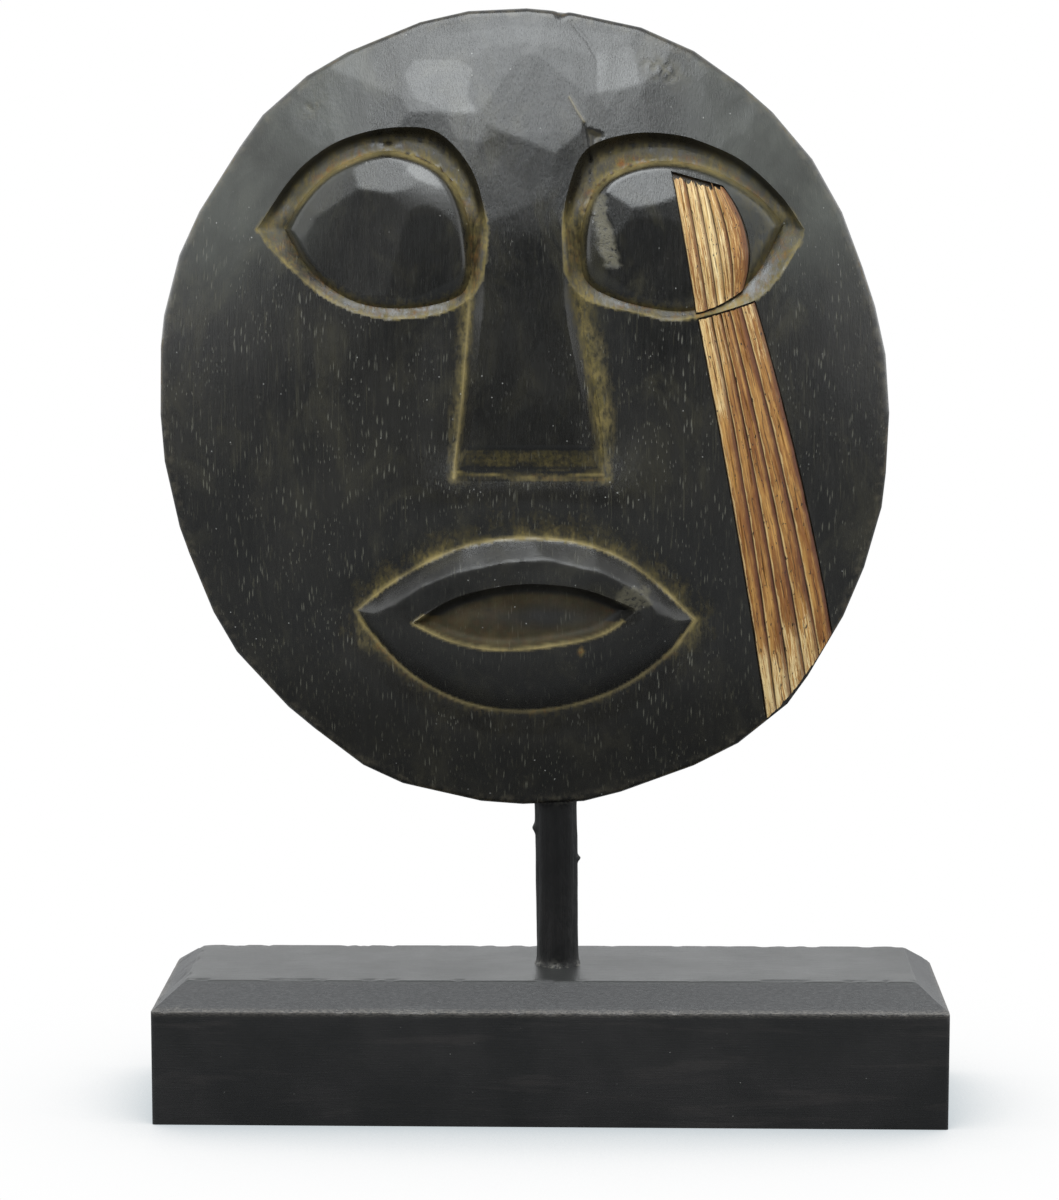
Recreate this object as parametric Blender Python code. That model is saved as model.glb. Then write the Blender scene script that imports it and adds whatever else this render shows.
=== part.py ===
"""Carved wooden face mask on a post and a chamfered base block, with split-cane rods inlaid
over one eye and cheek.

Frame: +Z up, the face looks along -Y, and the origin is the middle of the base's underside.
Left is -X and right is +X, as seen from in front. Sizes are in millimetres.
Mask coordinates: x and z from the middle of the disc, and out, from the disc's middle plane
towards -Y.
"""

import math

import bmesh
import bpy
from mathutils import Vector
from mathutils.geometry import delaunay_2d_cdt

MM = 0.001
GAP = 0.3  # clearance between neighbouring pieces

# Base block
BASE_LENGTH = 245.0
BASE_DEPTH = 70.0
BASE_SIDE_LEFT = 35.6  # height of the upright sides, a little taller at the right end
BASE_SIDE_RIGHT = 36.3
CHAMFER_RISE = 7.4
CHAMFER_END_RUN = 9.7
CHAMFER_SIDE_RUN = 11.4
BASE_EDGE_ROUND = 0.7
BASE_SOCKET_DEPTH = 20.0

# Post
POST_X = 1.7
POST_LEAN = 0.35  # how far the visible part strays at each end from its seats, to +X at the foot
POST_RADIUS = 6.75
POST_SEAT_RADIUS = 6.5
POST_TIP_INSET = 0.6  # chamfer at the post's two ends
POST_TIP_LENGTH = 1.2
POST_INTO_MASK = 22.0
POST_SIDES = 24
POST_STEPS = 7
SOCKET_RADIUS = POST_SEAT_RADIUS + GAP
SOCKET_OVER_BASE = 5.0  # how far each cutter sticks out of the wood
BORE_UNDER_MASK = 12.0

# Mask disc: a slightly squarish tilted oval, finished with a knife in flats
MASK_X = -8.35
MASK_Z = 218.3
HALF_WIDTH = 111.65
HALF_HEIGHT = 122.4
OVAL_TILT = math.radians(7.0)
OVAL_POWER = 2.097
# Where the rim is fuller or leaner: (degrees from +x, change of radius, spread in degrees)
RIM_SWELLS = (
    (309, 1.3, 9), (288, -0.8, 5), (338, -0.8, 8), (235, -0.9, 7),
    (172, 0.7, 8), (140, -0.9, 8), (50, 0.4, 7), (27, -0.4, 7),
)
RIM_FLATS = 44
RIM_FRONT = 10.6  # the front edge of the rim
RIM_BACK = -10.0
RIM_ROUND = 2.2
RIM_BAND = RIM_ROUND + 0.9  # the face is kept level with the rim's front edge this far in
CROWN = 14.0  # how far the middle of the face stands out past its rim
CROWN_POWER = 2.4
HOLLOW_DEPTH = 6.0
HOLLOW_Z = 8.0  # middle of the hollow in the back
POST_ENTRY_ANGLE = math.radians(-85.4)  # where the post meets the rim
# Rings round the edge, front to back: (inset from the rim, out)
EDGE_RINGS = (
    (0.0, RIM_FRONT - 2.4), (0.3, -3.0), (1.0, RIM_BACK + 1.6), (2.6, RIM_BACK),
)
# Rings of the back and its hollow, outermost first: (share of the rim's size, out)
HOLLOW_RINGS = (
    (0.78, RIM_BACK), (0.71, RIM_BACK + 3.4),
    (0.55, RIM_BACK + HOLLOW_DEPTH - 0.7), (0.28, RIM_BACK + HOLLOW_DEPTH),
)

# Free points of the face mesh: a staggered lattice, kept clear of the rim and the carved lines
LATTICE_STEP = 8.0
LATTICE_ROW_SHARE = 0.866  # row spacing as a share of the step
LATTICE_RIM_CLEAR = 7.0
LATTICE_LINE_CLEAR = 3.6

# Eyes: outlines as (x, z), sharp at the first point
SOCKET_DROP = (1.8, 5.4)  # below the eyeball and above it
SOCKET_DROP_START_Z = 33.0
SOCKET_DROP_SPAN = 24.0
SOCKET_WALL_POWER = 0.8
BALL_PROUD = 0.8
BALL_EDGE = 3.0  # the eyeball rises steeply over this width
BALL_CROWN_START = 1.5  # the gentle crown starts this far in and peaks at the half width
BALL_HALF_WIDTH = 13.0
BALL_CROWN = 1.1
BALL_INNER_SHARES = (0.9, 0.66)  # smaller copies of the outline that refine the mesh
LEFT_LID = [
    (-81, 56), (-70.5, 71.3), (-60.5, 80), (-50.5, 84.5), (-38, 86.7), (-25.5, 85),
    (-15.5, 74), (-11.3, 60), (-11, 51), (-13, 39.5), (-20.5, 32.5), (-32, 29.7),
    (-46, 30), (-61, 36.3), (-76, 49.5),
]
LEFT_BALL = [
    (-72.8, 56), (-68.2, 64), (-60.4, 72.2), (-50.7, 77.6), (-40.2, 79.6), (-29.7, 76.8),
    (-21.9, 71), (-17.6, 62), (-15.9, 52), (-16, 42), (-19, 36.4), (-27, 33.4),
    (-37, 32.3), (-48, 33.4), (-57.5, 37.6), (-66, 45),
]
RIGHT_LID = [
    (85, 56), (78, 66), (67, 76), (56, 81.5), (45.5, 84.5), (32, 84.7), (19, 80),
    (13.5, 67.5), (12, 54.5), (13.3, 42), (20, 34.7), (35, 31), (45.5, 29),
    (59, 31.3), (72.5, 36.5), (83, 50.5),
]
RIGHT_BALL = [
    (79, 57.2), (73, 64.4), (64.7, 70.2), (55.6, 74.4), (45.3, 76.6), (35, 75.8),
    (25.8, 72.2), (20.8, 66.5), (18, 58.5), (17.2, 49), (19, 40.8), (26, 36),
    (38, 32.6), (50, 31.6), (61, 34.8), (70.5, 42.4),
]

# Nose: the edges of its flat front, and the creases where its sides meet the cheeks, as (z, x)
NOSE_TIP_OUT = 27.5
NOSE_BRIDGE_X = 0.5
NOSE_BRIDGE_Z = 64.0
NOSE_TIP_Z = -9.0
NOSE_BEVEL_Z = -15.8
NOSE_FOOT_Z = -19.6
NOSE_BEVEL_DROP = 3.6
NOSE_BLEND = 20.0  # length over which the bridge grows out of the forehead
NOSE_FRONT_LEFT = [(64, -10.3), (38.5, -11.5), (11.5, -14), (-9, -16), (-16, -19.4)]
NOSE_FRONT_RIGHT = [(64, 11.2), (42, 12), (27.5, 13.5), (2, 18.8), (-9, 20.2), (-16, 22.8)]
NOSE_CREASE_LEFT = [(64, -14.6), (38.5, -15.9), (5, -18.5), (-17, -21), (-20, -21)]
NOSE_CREASE_RIGHT = [(64, 13.8), (38, 15), (23.5, 19), (8.5, 22), (-6, 24.2), (-20, 25.2)]
NOSE_LINE_ZS = [37, 25, 13, 2, NOSE_TIP_Z, NOSE_BEVEL_Z]  # mesh points along these four lines

# Soft furrow round the nose's outline, given as (x, z)
NOSE_LOOP = [
    (-15.9, 46.0), (-15.9, 38.5), (-18.5, 5.0), (-21.0, -17.0), (-21.0, -19.6), (25.2, -19.6),
    (24.2, -6.0), (22.0, 8.5), (19.0, 23.5), (15.0, 38.0), (14.6, 46.0),
]
CHEEK_FURROW_DEPTH = (0.5, 4.0)  # under the tip, and beside the nose
CHEEK_FURROW_LOW_Z = -28.0
CHEEK_FURROW_TOP_Z = 48.0
CHEEK_FURROW_FADE = 24.0  # length over which it deepens at the foot and fades at the top
CHEEK_FURROW_WIDTH = 13.0

# Mouth: outlines as (x, z), each sharp at its two numbered corners, left then right
LIP_FURROW = 2.6
LIP_RISE = 6.4
LIP_RIDGE = 0.46  # how far across the upper lip its crest runs
LIP_INNER_LEVEL = 0.88  # share of the rise left where the upper lip meets the slot
LOWER_LIP_FULL = 0.8  # how far across the lower lip it reaches its full rise
LOWER_LIP_POWER = 1.7
LOWER_LIP_LINES = (0.22, 0.6)  # mesh lines along the lower lip, as shares across it
LIP_LINE_POINTS = 12
LIP_LINE_FALL = 0.024  # slope of the line between the lips, down to the right
LIP_LINE_BLEND = 6.0
FURROW_WIDTH = 7.0
LIPS = [
    (-51.5, -60.5), (-41, -52), (-27, -43.8), (-12.5, -38.7), (5.5, -37.5), (22, -40.3),
    (37, -48.2), (52.7, -63), (44.5, -73.5), (30.5, -84), (13, -90.3), (-4, -91.7),
    (-20, -88.5), (-35, -80.2), (-47, -67.5),
]
LIPS_CORNERS = (0, 7)
SLOT = [
    (-34, -63.5), (-22, -56), (-8, -52), (5, -51), (20, -53), (35, -59), (24, -66.8),
    (8, -70.4), (-8, -71.6), (-22, -69),
]
SLOT_CORNERS = (0, 5)
SLOT_DEPTH = 4.4
SLOT_WALL = 3.3
SLOT_INNER_SHARE = 0.78

# Split-cane rods, numbered outwards from the nose
RODS = 5
# Where one rod meets the next, as shares of the band's width.
# The inner cheek rod tapers towards its lower end.
CHEEK_SPLITS_TOP = (0.0, 0.24, 0.40, 0.56, 0.76, 1.0)
CHEEK_SPLITS_END = (0.0, 0.12, 0.32, 0.54, 0.77, 1.0)
EYE_SPLITS = (0.0, 0.25, 0.46, 0.63, 0.79, 1.0)
ROD_THICKNESS = 2.2
ROD_SHOULDER = 1.1  # scale of the drop from a rod's crest to its sides
ROD_ROUNDNESS = 1.9
# The band's sides, inner then outer: ends as (x, z), then how far each bows to +X
CHEEK_TOP = [(52.9, 29.2), (70.0, 34.4)]
CHEEK_TOP_SAG = 0.25
CHEEK_END_ANGLES = (-51.6, -35.8)  # where the band's sides reach the rim, in degrees
CHEEK_END_INSET = 0.9
CHEEK_BOW = (0.8, 1.5)
CHEEK_PROUD = 0.5
EYE_TOP = [(44.8, 73.2), (60.2, 69.0)]
EYE_BOTTOM = [(52.4, 30.8), (66.5, 37.8)]
EYE_BOTTOM_SAG = 1.1
EYE_BOW = (0.2, 4.2)
EYE_PROUD = 0.6
EYE_RISE = 1.3  # gained over the first part of the rods' length
EYE_RISE_SHARE = 0.3
EYE_FALL = 1.9  # lost again after this share of the length
EYE_FALL_START = 0.62
# Nominal band sizes that turn a gap into a share of the band
ROD_BAND_WIDTH = 17.5
SEAT_BAND_WIDTH = 19.0
CHEEK_BAND_LENGTH = 130.0
EYE_BAND_LENGTH = 42.0
CHEEK_SEAT_END = 1.04  # the cheek seat runs out through the rim
CHEEK_CUT_ABOVE = 9.0  # how far the seat cutters reach above the crest
EYE_CUT_ABOVE = 6.0


# Shared arithmetic

def clamp(t):
    return min(1.0, max(0.0, t))


def smooth(t):
    t = clamp(t)
    return t * t * (3.0 - 2.0 * t)


def ease_out(t, power=2):
    """Steep at 0 and level at 1."""
    return 1.0 - (1.0 - clamp(t)) ** power


def lerp(a, b, t):
    return a + (b - a) * t


def bow(t, size):
    """A parabola, 0 at both ends and size in the middle."""
    return 4 * t * (1 - t) * size


def bell(distance, width):
    return math.exp(-((distance / width) ** 2))


def x_at(table, z):
    """Linear interpolation in a list of (z, x) that runs downwards."""
    for (upper_z, upper_x), (lower_z, lower_x) in zip(table, table[1:]):
        if z >= lower_z:
            return lerp(upper_x, lower_x, clamp((upper_z - z) / (upper_z - lower_z)))
    return table[-1][1]


def curve_through(points, corners=(0,)):
    """A closed smooth curve, two steps to a span, sharp at the numbered points."""
    count = len(points)
    found = []
    for i in range(count):
        before, start, end, after = (points[(i + k) % count] for k in (-1, 0, 1, 2))
        if i in corners:
            before = (2 * start[0] - end[0], 2 * start[1] - end[1])
        if (i + 1) % count in corners:
            after = (2 * end[0] - start[0], 2 * end[1] - start[1])
        for t in (0.0, 0.5):
            found.append(tuple(
                0.5 * (2 * b + (c - a) * t + (2 * a - 5 * b + 4 * c - d) * t * t
                       + (3 * b - a - 3 * c + d) * t**3)
                for a, b, c, d in zip(before, start, end, after)
            ))
    return found


def inside_distance(loop, x, z):
    """Distance to the closed loop, positive inside it."""
    nearest, inside = 1e9, False
    x0, z0 = loop[-1]
    for x1, z1 in loop:
        run, rise = x1 - x0, z1 - z0
        t = clamp(((x - x0) * run + (z - z0) * rise) / (run * run + rise * rise))
        nearest = min(nearest, math.hypot(x - x0 - t * run, z - z0 - t * rise))
        if (z0 > z) != (z1 > z) and x < x0 + (z - z0) * run / rise:
            inside = not inside
        x0, z0 = x1, z1
    return nearest if inside else -nearest


def shrunk(loop, share):
    """A smaller copy of a loop about the average of its points."""
    middle_x = sum(p[0] for p in loop) / len(loop)
    middle_z = sum(p[1] for p in loop) / len(loop)
    return [(lerp(middle_x, x, share), lerp(middle_z, z, share)) for x, z in loop]


# Outline of the mask

def oval(angle):
    """The disc's radius at an angle from +x."""
    across = abs(math.cos(angle - OVAL_TILT)) / HALF_WIDTH
    upward = abs(math.sin(angle - OVAL_TILT)) / HALF_HEIGHT
    radius = (across**OVAL_POWER + upward**OVAL_POWER) ** (-1.0 / OVAL_POWER)
    for middle, swell, spread in RIM_SWELLS:
        away = (math.degrees(angle) - middle + 180.0) % 360.0 - 180.0
        radius += swell * bell(away, spread)
    return radius


def rim_radius(x, z):
    return oval(math.atan2(z, x))


def rim_outline():
    """The ends and middles of the knife flats, which take unequal steps round the oval."""
    corners = []
    for i in range(RIM_FLATS):
        angle = 2 * math.pi * (i + 0.28 * math.sin(2.3 * i) * math.cos(0.9 * i)) / RIM_FLATS
        radius = oval(angle) + 0.35 * math.sin(1.7 * i)
        corners.append((radius * math.cos(angle), radius * math.sin(angle)))
    outline = []
    for (x0, z0), (x1, z1) in zip(corners, corners[1:] + corners[:1]):
        outline += [(x0, z0), ((x0 + x1) / 2, (z0 + z1) / 2)]
    return outline


def drawn_in(point, inset):
    """A point moved towards the middle of the disc."""
    radius = math.hypot(*point)
    return (point[0] * (radius - inset) / radius, point[1] * (radius - inset) / radius)


# Relief of the face

eyes = [
    (curve_through(LEFT_LID), curve_through(LEFT_BALL)),
    (curve_through(RIGHT_LID), curve_through(RIGHT_BALL)),
]
lips = curve_through(LIPS, LIPS_CORNERS)
slot = curve_through(SLOT, SLOT_CORNERS)


def dome(x, z):
    """The plain crowned face before any feature is carved."""
    share = math.hypot(x, z) / rim_radius(x, z)
    return RIM_FRONT + CROWN * (1.0 - min(share, 1.02) ** CROWN_POWER)


def socket_drop(z):
    """How deep the foot of the socket lies: deep under the brow, shallow at the lower lid."""
    return lerp(*SOCKET_DROP, smooth((z - SOCKET_DROP_START_Z) / SOCKET_DROP_SPAN))


def ball_rise(inward, z):
    """How high an eyeball stands above the foot of its socket, this far inside its edge."""
    edge = ease_out(inward / BALL_EDGE)
    crown = ease_out((inward - BALL_CROWN_START) / (BALL_HALF_WIDTH - BALL_CROWN_START))
    return (socket_drop(z) + BALL_PROUD - BALL_CROWN) * edge + BALL_CROWN * crown


def eye_carving(lid, ball, x, z):
    in_lid = inside_distance(lid, x, z)
    if in_lid <= 0:
        return 0.0
    in_ball = inside_distance(ball, x, z)
    if in_ball < 0:
        return -socket_drop(z) * (in_lid / (in_lid - in_ball)) ** SOCKET_WALL_POWER
    return -socket_drop(z) + ball_rise(in_ball, z)


def mouth_carving(x, z):
    in_lips = inside_distance(lips, x, z)
    if in_lips < 0:
        return -LIP_FURROW * bell(in_lips, FURROW_WIDTH)
    in_slot = inside_distance(slot, x, z)
    left_x, left_z = LIPS[0]
    middle = left_z - LIP_LINE_FALL * (x - left_x)
    upper_share = smooth((z - middle + LIP_LINE_BLEND / 2) / LIP_LINE_BLEND)
    if in_slot < 0:
        t = in_lips / (in_lips - in_slot)
        if t < LIP_RIDGE:
            upper = t / LIP_RIDGE
        else:
            upper = lerp(1.0, LIP_INNER_LEVEL, (t - LIP_RIDGE) / (1 - LIP_RIDGE))
        lower = ease_out(t / LOWER_LIP_FULL, LOWER_LIP_POWER)
        return -LIP_FURROW + LIP_RISE * lerp(lower, upper, upper_share)
    edge = -LIP_FURROW + LIP_RISE * lerp(1.0, LIP_INNER_LEVEL, upper_share)
    return edge - SLOT_DEPTH * ease_out(in_slot / SLOT_WALL)


def cheek_furrow(x, z):
    """The soft hollow beside the nose, shallower under its tip."""
    if z > CHEEK_FURROW_TOP_Z:
        return 0.0
    away = max(-inside_distance(NOSE_LOOP, x, z), 0.0)
    depth = lerp(*CHEEK_FURROW_DEPTH, smooth((z - CHEEK_FURROW_LOW_Z) / CHEEK_FURROW_FADE))
    fade = smooth((CHEEK_FURROW_TOP_Z - z) / CHEEK_FURROW_FADE)
    return -depth * bell(away, CHEEK_FURROW_WIDTH) * fade


def with_nose(x, z, cheek):
    """How far out the nose stands at a point, or the cheek where there's no nose."""
    if z > NOSE_BRIDGE_Z or z < NOSE_FOOT_Z:
        return cheek
    left, right = x_at(NOSE_FRONT_LEFT, z), x_at(NOSE_FRONT_RIGHT, z)
    crease_left, crease_right = x_at(NOSE_CREASE_LEFT, z), x_at(NOSE_CREASE_RIGHT, z)
    down_share = clamp((NOSE_BRIDGE_Z - z) / (NOSE_BRIDGE_Z - NOSE_TIP_Z))
    front = lerp(dome(NOSE_BRIDGE_X, NOSE_BRIDGE_Z), NOSE_TIP_OUT, down_share)
    if z < NOSE_TIP_Z:
        front -= NOSE_BEVEL_DROP * min(1.0, (NOSE_TIP_Z - z) / (NOSE_TIP_Z - NOSE_BEVEL_Z))
    if z < NOSE_BEVEL_Z:
        front = lerp(front, cheek, (NOSE_BEVEL_Z - z) / (NOSE_BEVEL_Z - NOSE_FOOT_Z))
    nose = front
    if x < left:
        nose = lerp(cheek, front, clamp((x - crease_left) / (left - crease_left)))
    elif x > right:
        nose = lerp(cheek, front, clamp((crease_right - x) / (crease_right - right)))
    return lerp(cheek, nose, smooth((NOSE_BRIDGE_Z - z) / NOSE_BLEND))


def relief(x, z):
    """How far out the carved face stands."""
    cheek = dome(x, z) + cheek_furrow(x, z) + mouth_carving(x, z)
    cheek += sum(eye_carving(lid, ball, x, z) for lid, ball in eyes)
    return with_nose(x, z, cheek)


# Mesh helpers

def on_mask(x, z, out):
    """Mask coordinates to a place in the scene."""
    return Vector(((MASK_X + x) * MM, -out * MM, (MASK_Z + z) * MM))


def add_object(name, shell, finish=None, smooth_angle=math.radians(32)):
    """Turns the bmesh into an object; one without a material is a hidden cutter."""
    bmesh.ops.recalc_face_normals(shell, faces=shell.faces)
    mesh = bpy.data.meshes.new(name)
    shell.to_mesh(mesh)
    shell.free()
    mesh.shade_smooth()
    mesh.set_sharp_from_angle(angle=smooth_angle)
    obj = bpy.data.objects.new(name, mesh)
    bpy.context.collection.objects.link(obj)
    if finish:
        mesh.materials.append(finish)
    else:
        obj.hide_render = True
        obj.display_type = "WIRE"
    return obj


def cut(obj, cutter):
    modifier = obj.modifiers.new("Cut_" + cutter.name, "BOOLEAN")
    modifier.operation = "DIFFERENCE"
    modifier.solver = "EXACT"
    modifier.object = cutter


def join_rings(shell, rings):
    """Quads between each closed ring and the next, all of the same count."""
    for low, high in zip(rings, rings[1:]):
        count = len(low)
        for i in range(count):
            j = (i + 1) % count
            shell.faces.new((low[i], low[j], high[j], high[i]))


def turned(name, stations, finish=None):
    """A round solid from (x, y, z, radius) stations along its axis, bottom to top."""
    shell = bmesh.new()
    angles = [2 * math.pi * k / POST_SIDES for k in range(POST_SIDES)]
    rings = [
        [
            shell.verts.new(Vector((x + radius * math.cos(a), y + radius * math.sin(a), z)) * MM)
            for a in angles
        ]
        for x, y, z, radius in stations
    ]
    join_rings(shell, rings)
    shell.faces.new(rings[0])
    shell.faces.new(rings[-1])
    return add_object(name, shell, finish)


def slab(name, point, across, length, finish=None):
    """A closed strip whose corners are point(share across, share along, level).

    Level 0 is its underside and level 1 its top.
    """
    shell = bmesh.new()
    bottom, top = grids = [
        [
            [shell.verts.new(point(i / across, j / length, level)) for j in range(length + 1)]
            for i in range(across + 1)
        ]
        for level in (0, 1)
    ]
    for grid in grids:
        for i in range(across):
            for j in range(length):
                shell.faces.new(
                    (grid[i][j], grid[i + 1][j], grid[i + 1][j + 1], grid[i][j + 1])
                )
    for i in (0, across):
        for j in range(length):
            shell.faces.new((bottom[i][j], bottom[i][j + 1], top[i][j + 1], top[i][j]))
    for j in (0, length):
        for i in range(across):
            shell.faces.new((bottom[i][j], bottom[i + 1][j], top[i + 1][j], top[i][j]))
    return add_object(name, shell, finish)


# Base and post

def base_side(x):
    """Height of the base's upright sides."""
    return lerp(BASE_SIDE_LEFT, BASE_SIDE_RIGHT, 0.5 + x / BASE_LENGTH)


BASE_TOP = base_side(POST_X) + CHAMFER_RISE  # where the post enters
MASK_FOOT = MASK_Z - oval(POST_ENTRY_ANGLE)


def post_cutter(name, low, high):
    return turned(name, [(POST_X, 0, z, SOCKET_RADIUS) for z in (low, high)])


def build_base(finish):
    shell = bmesh.new()

    def ring(inset_x, inset_y, side_share, rise):
        found = []
        for side_x, side_y in ((-1, -1), (1, -1), (1, 1), (-1, 1)):
            x = side_x * (BASE_LENGTH / 2 - inset_x)
            y = side_y * (BASE_DEPTH / 2 - inset_y)
            z = side_share * base_side(x) + rise
            found.append(shell.verts.new(Vector((x, y, z)) * MM))
        return found

    rings = [
        ring(0, 0, 0, 0),
        ring(0, 0, 1, 0),
        ring(CHAMFER_END_RUN, CHAMFER_SIDE_RUN, 1, CHAMFER_RISE),
    ]
    join_rings(shell, rings)
    shell.faces.new(rings[0])
    shell.faces.new(rings[-1])
    # Every edge but those of the underside is softened.
    softened = [e for e in shell.edges if any(vert.co.z > 1e-6 for vert in e.verts)]
    bmesh.ops.bevel(
        shell, geom=softened, offset=BASE_EDGE_ROUND * MM, segments=2, profile=0.5,
        affect="EDGES", clamp_overlap=True,
    )
    base = add_object("base_block", shell, finish, math.radians(40))
    low, high = BASE_TOP - BASE_SOCKET_DEPTH, BASE_TOP + SOCKET_OVER_BASE
    cut(base, post_cutter("base_socket_cutter", low, high))
    return base


def build_post(finish):
    """A whittled dowel, with its two plain seated ends inside the mask and the base."""
    low, high = BASE_TOP - BASE_SOCKET_DEPTH + GAP, MASK_FOOT + POST_INTO_MASK
    tip_radius = POST_SEAT_RADIUS - POST_TIP_INSET
    stations = [
        (POST_X, 0, low, tip_radius),
        (POST_X, 0, low + POST_TIP_LENGTH, POST_SEAT_RADIUS),
        (POST_X, 0, BASE_TOP + 0.4, POST_SEAT_RADIUS),
    ]
    for k in range(POST_STEPS + 1):
        share = k / POST_STEPS
        # The sines are the small unevenness left by the knife.
        stations.append((
            POST_X + lerp(POST_LEAN, -POST_LEAN, share) + 0.15 * math.sin(2.1 * k),
            0.2 * math.sin(1.3 * k),
            lerp(BASE_TOP + 1.2, MASK_FOOT - 1.6, share),
            POST_RADIUS + 0.18 * math.sin(3.7 * k + 1),
        ))
    stations += [
        (POST_X, 0, MASK_FOOT - 0.6, POST_SEAT_RADIUS),
        (POST_X, 0, high - POST_TIP_LENGTH, POST_SEAT_RADIUS),
        (POST_X, 0, high, tip_radius),
    ]
    return turned("post", stations, finish)


# Cane bands: (share across from the inner side, share down) gives (x, z, out) of the crest

def cheek_band(across, down):
    """From the lower lid down to the rim."""
    x0, z0 = (lerp(a, b, across) for a, b in zip(*CHEEK_TOP))
    z0 -= bow(across, CHEEK_TOP_SAG)
    angle = math.radians(lerp(*CHEEK_END_ANGLES, across))
    radius = oval(angle) - CHEEK_END_INSET
    x = lerp(x0, radius * math.cos(angle), down) + bow(down, lerp(*CHEEK_BOW, across))
    z = lerp(z0, radius * math.sin(angle), down)
    return x, z, dome(x, z) + CHEEK_PROUD


def eye_band(across, down):
    """From the brow over the eyeball, then down nearly level with the lower lid."""
    x0, z0 = (lerp(a, b, across) for a, b in zip(*EYE_TOP))
    x1, z1 = (lerp(a, b, across) for a, b in zip(*EYE_BOTTOM))
    z1 -= bow(across, EYE_BOTTOM_SAG)
    x = lerp(x0, x1, down) + bow(clamp(down), lerp(*EYE_BOW, max(across, 0.0) ** 4))
    z = lerp(z0, z1, down)
    rise = EYE_RISE * ease_out(down / EYE_RISE_SHARE)
    fall = EYE_FALL * smooth((down - EYE_FALL_START) / (1 - EYE_FALL_START))
    return x, z, dome(x, z) + EYE_PROUD + rise - fall


def build_rod(name, band, top_splits, end_splits, index, finish):
    inset = 0.5 * GAP / ROD_BAND_WIDTH

    def point(across, down, level):
        near, far = (lerp(top_splits[k], end_splits[k], down) for k in (index, index + 1))
        x, z, crest = band(lerp(near + inset, far - inset, across), down)
        # A rounded section: low at its two sides and full height in the middle.
        level_share = math.sqrt(max(0.0, 1.0 - (ROD_ROUNDNESS * (across - 0.5)) ** 2))
        drop = ROD_SHOULDER * (1.0 - level_share) if level else ROD_THICKNESS
        return on_mask(x, z, crest - drop)

    return slab(name, point, 4, 11, finish)


def seat_cutter(name, band, first, last, above):
    """The cutter for the recess that a band of rods lies in."""
    side = GAP / SEAT_BAND_WIDTH

    def point(across, down, level):
        x, z, crest = band(lerp(-side, 1 + side, across), lerp(first, last, down))
        return on_mask(x, z, crest + above if level else crest - ROD_THICKNESS - GAP)

    return slab(name, point, 5, 13)


def build_rods(canes):
    rods = []
    for i in range(RODS):
        rods.append(build_rod(
            f"cheek_rod_{i + 1}", cheek_band, CHEEK_SPLITS_TOP, CHEEK_SPLITS_END, i,
            canes[(i + 1) % 3],
        ))
        rods.append(build_rod(
            f"eye_rod_{i + 1}", eye_band, EYE_SPLITS, EYE_SPLITS, i, canes[i % 2]
        ))
    return rods


# Mask

def nose_lines():
    """Open mesh lines down the nose's edges and creases, and across its tip, bevel and foot."""
    fronts = (NOSE_FRONT_LEFT, NOSE_FRONT_RIGHT)
    creases = (NOSE_CREASE_LEFT, NOSE_CREASE_RIGHT)
    lines = [[(x_at(table, z), z) for z in NOSE_LINE_ZS] for table in fronts]
    lines += [[(x_at(table, z), z) for z in NOSE_LINE_ZS + [NOSE_FOOT_Z]] for table in creases]
    for (left, right), z, inner_xs in (
        (fronts, NOSE_TIP_Z, (-4, 8)),
        (fronts, NOSE_BEVEL_Z, (-4, 8)),
        (creases, NOSE_FOOT_Z, (-8, 12)),
    ):
        lines.append([(x, z) for x in (x_at(left, z), *inner_xs, x_at(right, z))])
    return lines


def lip_line(outer, inner, share):
    """A chain part way from one half of the lips' outline to the same half of the slot's."""
    found = []
    for k in range(1, LIP_LINE_POINTS):
        pair = []
        for chain in (outer, inner):
            place = k / LIP_LINE_POINTS * (len(chain) - 1)
            i = min(int(place), len(chain) - 2)
            pair.append([lerp(a, b, place - i) for a, b in zip(chain[i], chain[i + 1])])
        found.append(tuple(lerp(a, b, share) for a, b in zip(*pair)))
    return found


def lip_lines():
    # The curves have two points to a span, so a corner's number doubles.
    lips_right, slot_right = 2 * LIPS_CORNERS[1], 2 * SLOT_CORNERS[1]
    upper = (lips[:lips_right + 1], slot[:slot_right + 1])
    lower = (lips[lips_right:] + lips[:1], slot[slot_right:] + slot[:1])
    return [lip_line(*upper, LIP_RIDGE)] + [lip_line(*lower, share) for share in LOWER_LIP_LINES]


def face_triangles(front_ring):
    """Flat triangulation of the face that follows every carved line."""
    loops = [front_ring]
    loops += [loop for eye in eyes for loop in eye]
    loops += [lips, slot]
    loops += [shrunk(ball, share) for _, ball in eyes for share in BALL_INNER_SHARES]
    loops.append(shrunk(slot, SLOT_INNER_SHARE))
    lines = nose_lines() + lip_lines()

    points, edges = [], []
    for chain in loops + lines:
        start, count = len(points), len(chain)
        points.extend(chain)
        edges.extend((start + i, start + i + 1) for i in range(count - 1))
        if len(points) <= sum(len(loop) for loop in loops):
            edges.append((start + count - 1, start))
    fixed = list(points)
    for row in range(-16, 17):
        for column in range(-15, 16):
            x = (column + 0.5 * (row % 2)) * LATTICE_STEP
            z = row * LATTICE_STEP * LATTICE_ROW_SHARE
            if math.hypot(x, z) > rim_radius(x, z) - LATTICE_RIM_CLEAR:
                continue
            if all(math.hypot(x - a, z - b) > LATTICE_LINE_CLEAR for a, b in fixed):
                points.append((x, z))
    inside_only, tolerance = 1, 1e-4
    flat, _, faces, *_ = delaunay_2d_cdt(
        [Vector(p) for p in points], edges, [], inside_only, tolerance
    )
    return flat, faces


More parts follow.
